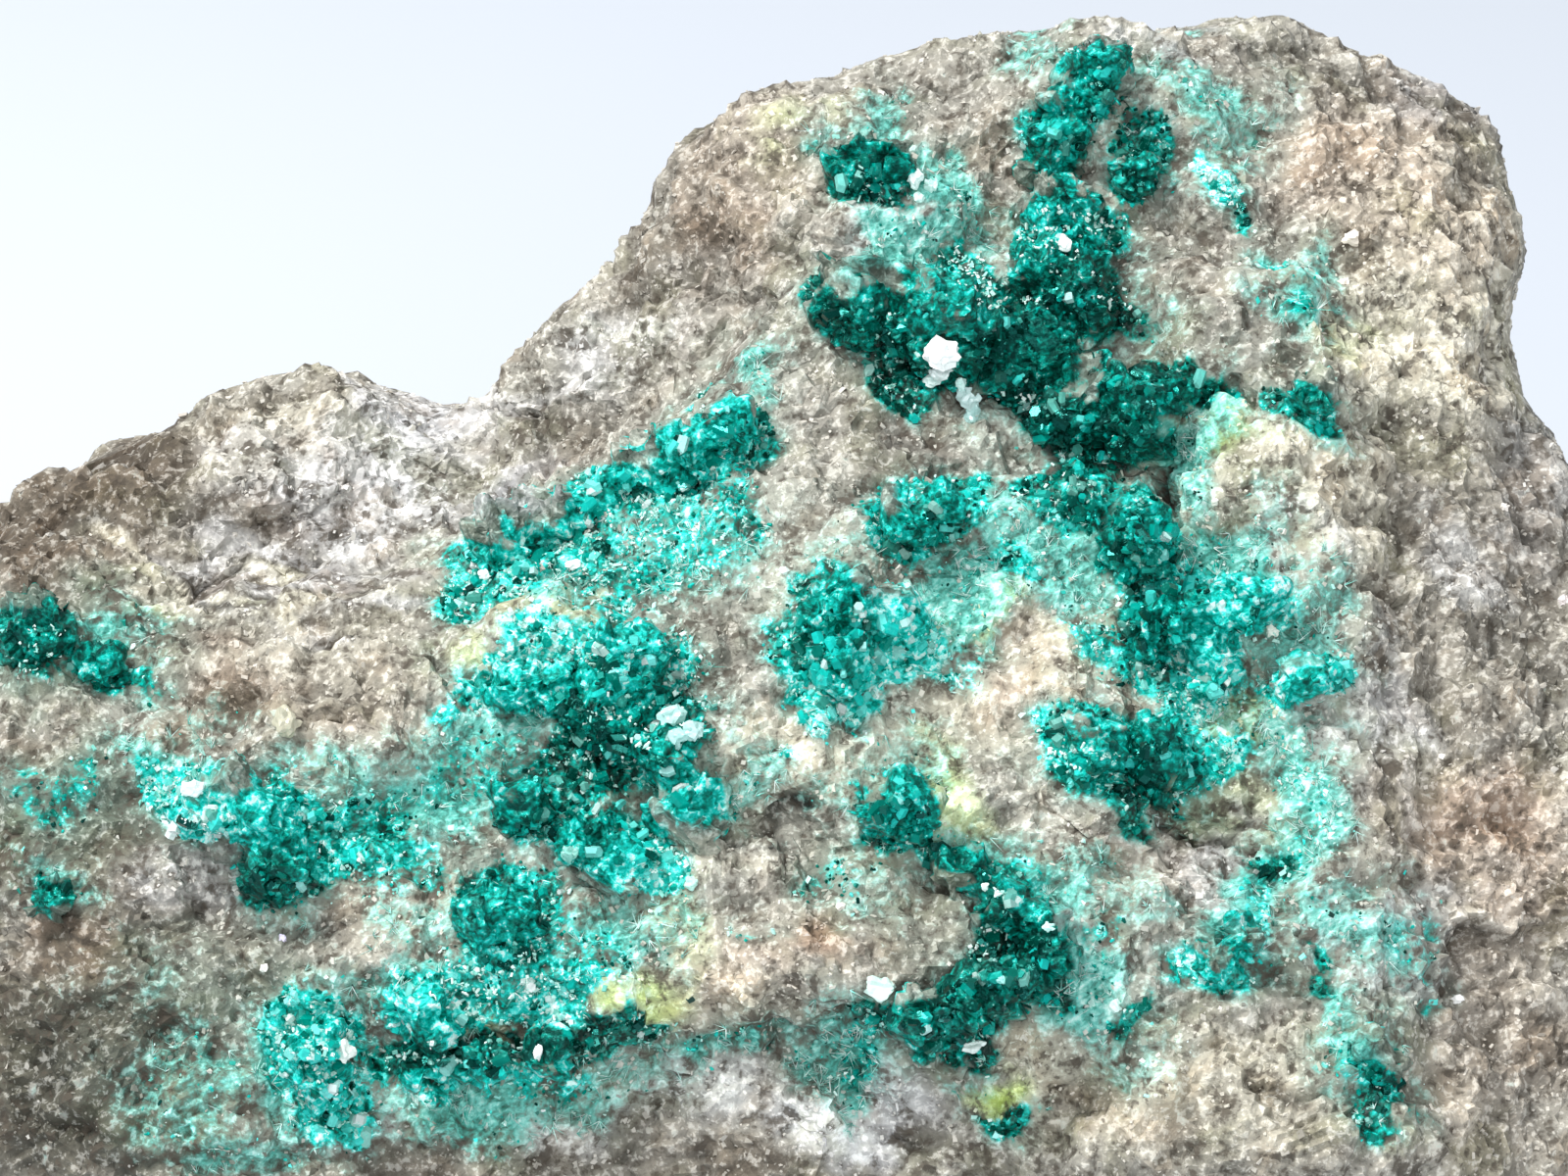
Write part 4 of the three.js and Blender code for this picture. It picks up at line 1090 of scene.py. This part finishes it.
def fibreSheaves(ground, material):
    draw, points, normals, found = strewn(ground, fibres)
    chance = np.maximum(found["pale"], 0.7 * found["deep"])
    kept = np.nonzero(draw.uniform(0.2, 1.1, len(points)) < chance)[0][:fibres["count"]]
    needles = fibres["needles"]
    points = np.repeat(points[kept], needles, axis=0)
    normals = np.repeat(normals[kept], needles, axis=0)
    count = len(points)
    sides = np.repeat(draw.normal(size=(len(kept), 3)), needles, axis=0)
    sides = unit(sides - normals * (sides * normals).sum(axis=1)[:, None])
    directions = unit(fibres["rise"] * normals + sides + fibres["fan"] * draw.normal(size=(count, 3)))
    shorter = np.where(found["deep"] > found["pale"], fibres["inDeep"], 1.0)[kept].repeat(needles)
    lengths = draw.uniform(*fibres["length"], count) * shorter
    angles = np.arange(3) * 2 * math.pi / 3
    corners = np.zeros((count, 4, 3))
    corners[:, :3, 0] = np.cos(angles) * fibres["width"]
    corners[:, :3, 1] = np.sin(angles) * fibres["width"]
    corners[:, 3, 2] = lengths
    starts = points + normals * fibres["lift"]
    corners = np.einsum("nck,nkj->ncj", corners, turned(directions, draw.uniform(0, 6, count)))
    tints = shaded(draw.uniform(0.4, 1.4, count), paleStops)
    corners += starts[:, None, :]
    return joined("turquoise_fibres", corners, needleFaces, tints, material)


# Rock grains: broken blocks with uneven corners, set into the surface
grains = {
    "front": {"count": 4500, "tries": 4, "size": (0.03 * mm, 0.12 * mm), "seed": 5},
    "back": {"count": 5000, "tries": 4, "size": (0.06 * mm, 0.20 * mm), "seed": 6},
    "white": colour(240, 236, 226),
}
grainFaces = [(0, 1, 2, 3), (7, 6, 5, 4), (0, 4, 5, 1), (1, 5, 6, 2), (2, 6, 7, 3), (3, 7, 4, 0)]


def lozenges(points, normals, sizes, length, draw):
    # broken blocks lying in the surface, each with its own turn and size
    count = len(points)
    directions = unit(normals + 0.3 * draw.normal(size=(count, 3)))
    small, large = sizes
    sizes = small + (large - small) * draw.random(count) ** 1.8
    ring = [(-1, -1), (-1, 1), (1, 1), (1, -1)]
    block = np.array([(x, y, z) for z in (1, -1) for x, y in ring])
    stretch = draw.uniform(0.55, 1.45, (count, 1, 3)) * (length, 1, 0.5)
    corners = (block[None] + draw.normal(0, 0.22, (count, 8, 3))) * stretch * sizes[:, None, None]
    corners = np.einsum("nck,nkj->ncj", corners, turned(directions, draw.uniform(0, 6, count)))
    return corners + (points - 0.3 * normals * sizes[:, None])[:, None, :]


def rockGrains(name, ground, settings, front, material):
    draw, points, normals, found = strewn(ground, settings)
    chosen = inView(points, normals) if front else normals @ outward < -0.25
    kept = np.nonzero(chosen)[0][:settings["count"]]
    found = {key: values[kept] for key, values in found.items()}
    points = points[kept]
    normals = normals[kept]
    count = len(kept)
    corners = lozenges(points, normals, settings["size"], 1.0, draw)
    chance = draw.random(count)
    tints = found["tone"] * draw.uniform(0.7, 1.2, (count, 1))
    white = (chance + 0.16 * ripple(points, 1.4 * mm, 81) > 0.90)[:, None]
    tints = np.where(white, 0.5 * tints + 0.5 * np.array(grains["white"][:3]), tints)
    stained = (draw.uniform(0.1, 0.8, count) < np.maximum(found["deep"], found["pale"]))[:, None]
    green = greenOf(points, 0.3 + 0.5 * found["bright"] + 0.25 * draw.normal(size=count), 1.0)
    tints = np.where(stained, green, tints)
    return joined(name, corners, grainFaces, np.clip(tints, 0, 1), material)


# Spangles: painted glints, specks of white and pale cyan in clusters on the green that stand in for tiny
# faces catching the light
spangles = {
    "count": 10000,
    "tries": 30,
    "size": (0.016 * mm, 0.06 * mm),
    "cluster": 0.7 * mm,          # how wide their clusters are
    "knot": 0.4 * mm,             # smaller clusters within the clusters
    "lift": 0.12 * mm,
    "seed": 17,
    "thick": [
        # x, y, half-width, half-height in pixels, turn, share of them here
        (1093, 245, 70, 40, 0, 1), (1140, 308, 26, 18, 0, 0.9), (1050, 315, 20, 14, 0, 0.8),
        (1050, 402, 34, 18, 0, 0.8), (1150, 445, 20, 12, 0, 0.6), (985, 300, 50, 40, 0, 0.9),
        (900, 330, 50, 30, 0, 0.5), (895, 180, 36, 26, 0, 0.5), (1110, 72, 34, 24, 0, 0.5),
        (1110, 768, 40, 20, 0, 1), (640, 745, 60, 50, 0, 0.7), (1000, 940, 60, 60, 0, 0.6),
        (470, 1075, 80, 20, 0, 0.7), (560, 560, 120, 50, -30, 0.4), (692, 731, 40, 40, 0, 1),
        (318, 1070, 50, 60, 0, 0.8), (520, 1010, 90, 30, 0, 0.8), (215, 820, 60, 30, 0, 0.8),
        (1246, 195, 28, 22, 0, 1), (40, 655, 60, 30, 0, 0.7),
    ],
}


def spangleCrust(ground, material):
    draw, points, normals, found = strewn(ground, spangles)
    thick, _ = within(pixelsOf(points), spangles["thick"], 0.5)
    clusters = ripple(points, spangles["cluster"], 91) + 0.6 * ripple(points, spangles["knot"], 92)
    share = found["deep"] * (0.25 + 0.4 * found["bright"] + 1.3 * thick) * np.clip(1.3 * clusters - 0.1, 0, 1)
    kept = np.nonzero(draw.uniform(0.05, 1.0, len(points)) < share)[0][:spangles["count"]]
    points = points[kept]
    normals = normals[kept]
    corners = lozenges(points + spangles["lift"] * normals, normals, spangles["size"], 1.7, draw)
    tints = shaded(draw.uniform(0.3, 1.15, len(kept)) + 0.2 * thick[kept], paleStops)
    return joined("dioptase_spangles", corners, grainFaces, tints, material)


# Flecks: thin pale splinters of quartz in drifts over the rock
flecks = {
    "count": 7000,
    "tries": 8,
    "size": (0.03 * mm, 0.08 * mm),
    "cluster": 1.6 * mm,
    "knot": 0.5 * mm,
    "shade": colour(222, 216, 204),
    "seed": 19,
}


def rockFlecks(ground, material):
    draw, points, normals, found = strewn(ground, flecks)
    drifts = 0.5 + 0.6 * ripple(points, flecks["cluster"], 93) + 0.4 * ripple(points, flecks["knot"], 94)
    share = (1 - found["deep"]) * np.clip(drifts, 0, 1)
    kept = np.nonzero((draw.uniform(0.1, 1.0, len(points)) < share) & inView(points, normals))[0]
    kept = kept[:flecks["count"]]
    raised = points[kept] + 0.02 * mm * normals[kept]
    corners = lozenges(raised, normals[kept], flecks["size"], 1.4, draw)
    tone = found["tone"][kept]
    lightness = np.clip(tone.mean(axis=1, keepdims=True) / 0.35, 0.15, 1)
    share = draw.uniform(0.1, 0.65, (len(kept), 1)) * lightness
    tints = tone * (1 - share) + np.array(flecks["shade"][:3]) * share
    return joined("rock_flecks", corners, grainFaces, tints, material)


# Single pale grains that stand out: quartz and calcite, some of them clear
paleGrains = {
    "spots": [
        # x, y, width, height in pixels, colour
        (956, 368, 38, 32, colour(250, 252, 250)), (962, 384, 26, 26, colour(244, 252, 250)),
        (948, 392, 16, 16, colour(226, 246, 240)), (975, 396, 14, 14, colour(206, 240, 232)),
        (941, 184, 16, 18, colour(226, 248, 242)), (951, 187, 16, 16, colour(206, 244, 234)),
        (944, 196, 14, 11, colour(206, 244, 234)),
        (197, 797, 26, 20, colour(240, 250, 248)), (489, 592, 13, 11, colour(236, 250, 246)),
        (588, 573, 18, 11, colour(236, 250, 246)), (1092, 250, 17, 15, colour(244, 252, 248)),
        (905, 1008, 30, 24, colour(206, 232, 222)), (992, 1074, 24, 14, colour(226, 240, 234)),
        (1065, 952, 12, 10, colour(190, 240, 230)), (700, 900, 14, 14, colour(180, 226, 214)),
        (1378, 240, 16, 16, colour(226, 216, 200)), (1374, 282, 12, 12, colour(230, 220, 206)),
        (1216, 690, 8, 8, colour(236, 250, 244)), (1256, 697, 10, 10, colour(240, 248, 240)),
        (1301, 647, 12, 11, colour(236, 240, 228)), (1242, 513, 9, 9, colour(226, 226, 214)),
        (800, 575, 9, 9, colour(226, 236, 230)), (860, 925, 10, 9, colour(220, 216, 206)),
        (282, 952, 9, 9, colour(220, 214, 236)), (541, 1076, 9, 16, colour(246, 252, 250)),
        (1135, 1028, 14, 14, colour(206, 236, 226)), (358, 1072, 20, 20, colour(226, 234, 226)),
        (1002, 904, 8, 8, colour(214, 240, 232)), (1016, 905, 8, 7, colour(214, 240, 232)),
        (1046, 917, 9, 8, colour(220, 244, 236)), (1018, 994, 11, 8, colour(150, 226, 214)),
        (1496, 1018, 12, 9, colour(240, 240, 236)), (1542, 513, 9, 9, colour(232, 224, 214)),
        (1590, 610, 12, 12, colour(240, 230, 226)), (268, 990, 8, 8, colour(226, 226, 216)),
    ],
    "clear": [
        (980, 406, 26, 28, colour(224, 252, 248)), (988, 418, 20, 20, colour(206, 248, 242)),
        (690, 726, 24, 24, colour(196, 244, 236)), (703, 738, 22, 22, colour(206, 248, 242)),
        (685, 745, 20, 18, colour(186, 240, 232)),
        (580, 880, 18, 16, colour(150, 224, 208)), (285, 736, 26, 30, colour(214, 210, 186)),
    ],
    "seat": 9,                    # pixels around a spot in which its place on the surface is looked for
    "lumps": 0.8,
    "breaks": 6,                  # flat breaks on each grain
    "breakAt": (0.36, 0.44),      # and how far from its middle they lie, for a grain of width 1
    "thickness": 0.75,
    "seed": 14,
}


def seat(x, y, places, pixels):
    # the nearest point of the surface to the eye around a pixel
    close = np.nonzero(np.hypot(pixels[:, 0] - x, pixels[:, 1] - y) < paleGrains["seat"])[0]
    return places[close[np.argmax(places[close] @ outward)]]


def paleGrain(bm, place, width, height, draw):
    # a lumpy ball cut by a few flat breaks
    made = bmesh.ops.create_icosphere(bm, subdivisions=3, radius=0.5)
    verts = made["verts"]
    shift = Vector(draw.uniform(0, 9, 3))
    for v in verts:
        v.co *= 1 + paleGrains["lumps"] * noise.noise(v.co * 3 + shift)
    for cut in range(paleGrains["breaks"]):
        normal = Vector(draw.normal(size=3)).normalized()
        for v in verts:
            past = v.co.dot(normal) - draw.uniform(*paleGrains["breakAt"])
            if past > 0:
                v.co -= normal * past
    depth = paleGrains["thickness"] * (width + height) / 2
    size = Vector((width, depth, height)) / picture["pixelsPerMm"] * mm
    bmesh.ops.scale(bm, verts=verts, vec=size)
    bmesh.ops.rotate(bm, verts=verts, matrix=Matrix.Rotation(-picture["lean"], 3, "X"))
    bmesh.ops.translate(bm, verts=verts, vec=Vector(place))
    return verts


def paleGrainPiece(name, spots, material, places):
    draw = np.random.default_rng(paleGrains["seed"])
    pixels = pixelsOf(places)
    bm = bmesh.new()
    tints = []
    for x, y, width, height, shade in spots:
        verts = paleGrain(bm, seat(x, y, places, pixels), width, height, draw)
        tints += [shade[:3]] * len(verts)
    piece = settled(bm, name, np.array([tuple(v.co) for v in bm.verts]))
    addColours(piece.data, "tint", np.array(tints))
    piece.data.materials.append(material)
    print(name + ":", len(spots), "grains")
    return piece


def clearFinish():
    # clear calcite: see-through, with cloudy breaks inside
    clear = Finish("clear calcite")
    cloud = clear.noise(clear.place(), 0.4 * mm, detail=4, roughness=0.7)
    clear.set("Base Color", clear.brighter(clear.attribute("tint"), 0.7 + 0.5 * cloud))
    clear.set("Roughness", 0.04 + 0.3 * cloud)
    clear.set("IOR", 1.58)
    clear.set("Transmission Weight", 0.25)
    clear.bump(cloud, 0.3, 0.05 * mm)
    return clear.material


makeStudio()
rock = roughRock()
deepCrystal = crystalFinish("dioptase", glass)
paleCrystal = crystalFinish("pale dioptase", {**glass, "roughness": 0.2, "clear": 0.25})
massCrystal = stoneFinish("dioptase masses", True)
grainMaterial = grainFinish()
paleNodes = ("dioptase_spark", "dioptase_slope", "dioptase_foot", "dioptase_low_bright")
crystals = []
for name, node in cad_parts.items():
    if name in paleNodes:
        crystals.append(crystalMass(node, massCrystal))
    elif name != "matrix":
        crystals.append(crystalMass(node, massCrystal))
print("crystals:", len(crystals), "masses,", sum(len(mass.data.polygons) for mass in crystals), "triangles")

bare = Ground([rock], 0.35)
covered = Ground([rock] + crystals, 0.12)
surface = np.concatenate([pointsAndNormals(thing.data)[0] for thing in [rock] + crystals])
paleGrainPiece("white_grains", paleGrains["spots"], grainMaterial, surface)
paleGrainPiece("clear_grains", paleGrains["clear"], clearFinish(), surface)
crystalCrust("dioptase_druse", covered, "deep", deepCrystal)
crystalCrust("pale_druse", covered, "pale", paleCrystal)
fibreSheaves(covered, paleCrystal)
spangleCrust(covered, grainMaterial)
rockFlecks(bare, grainMaterial)
rockGrains("rock_grains_front", bare, grains["front"], True, grainMaterial)
rockGrains("rock_grains_back", bare, grains["back"], False, grainMaterial)

print("specimen dressed")
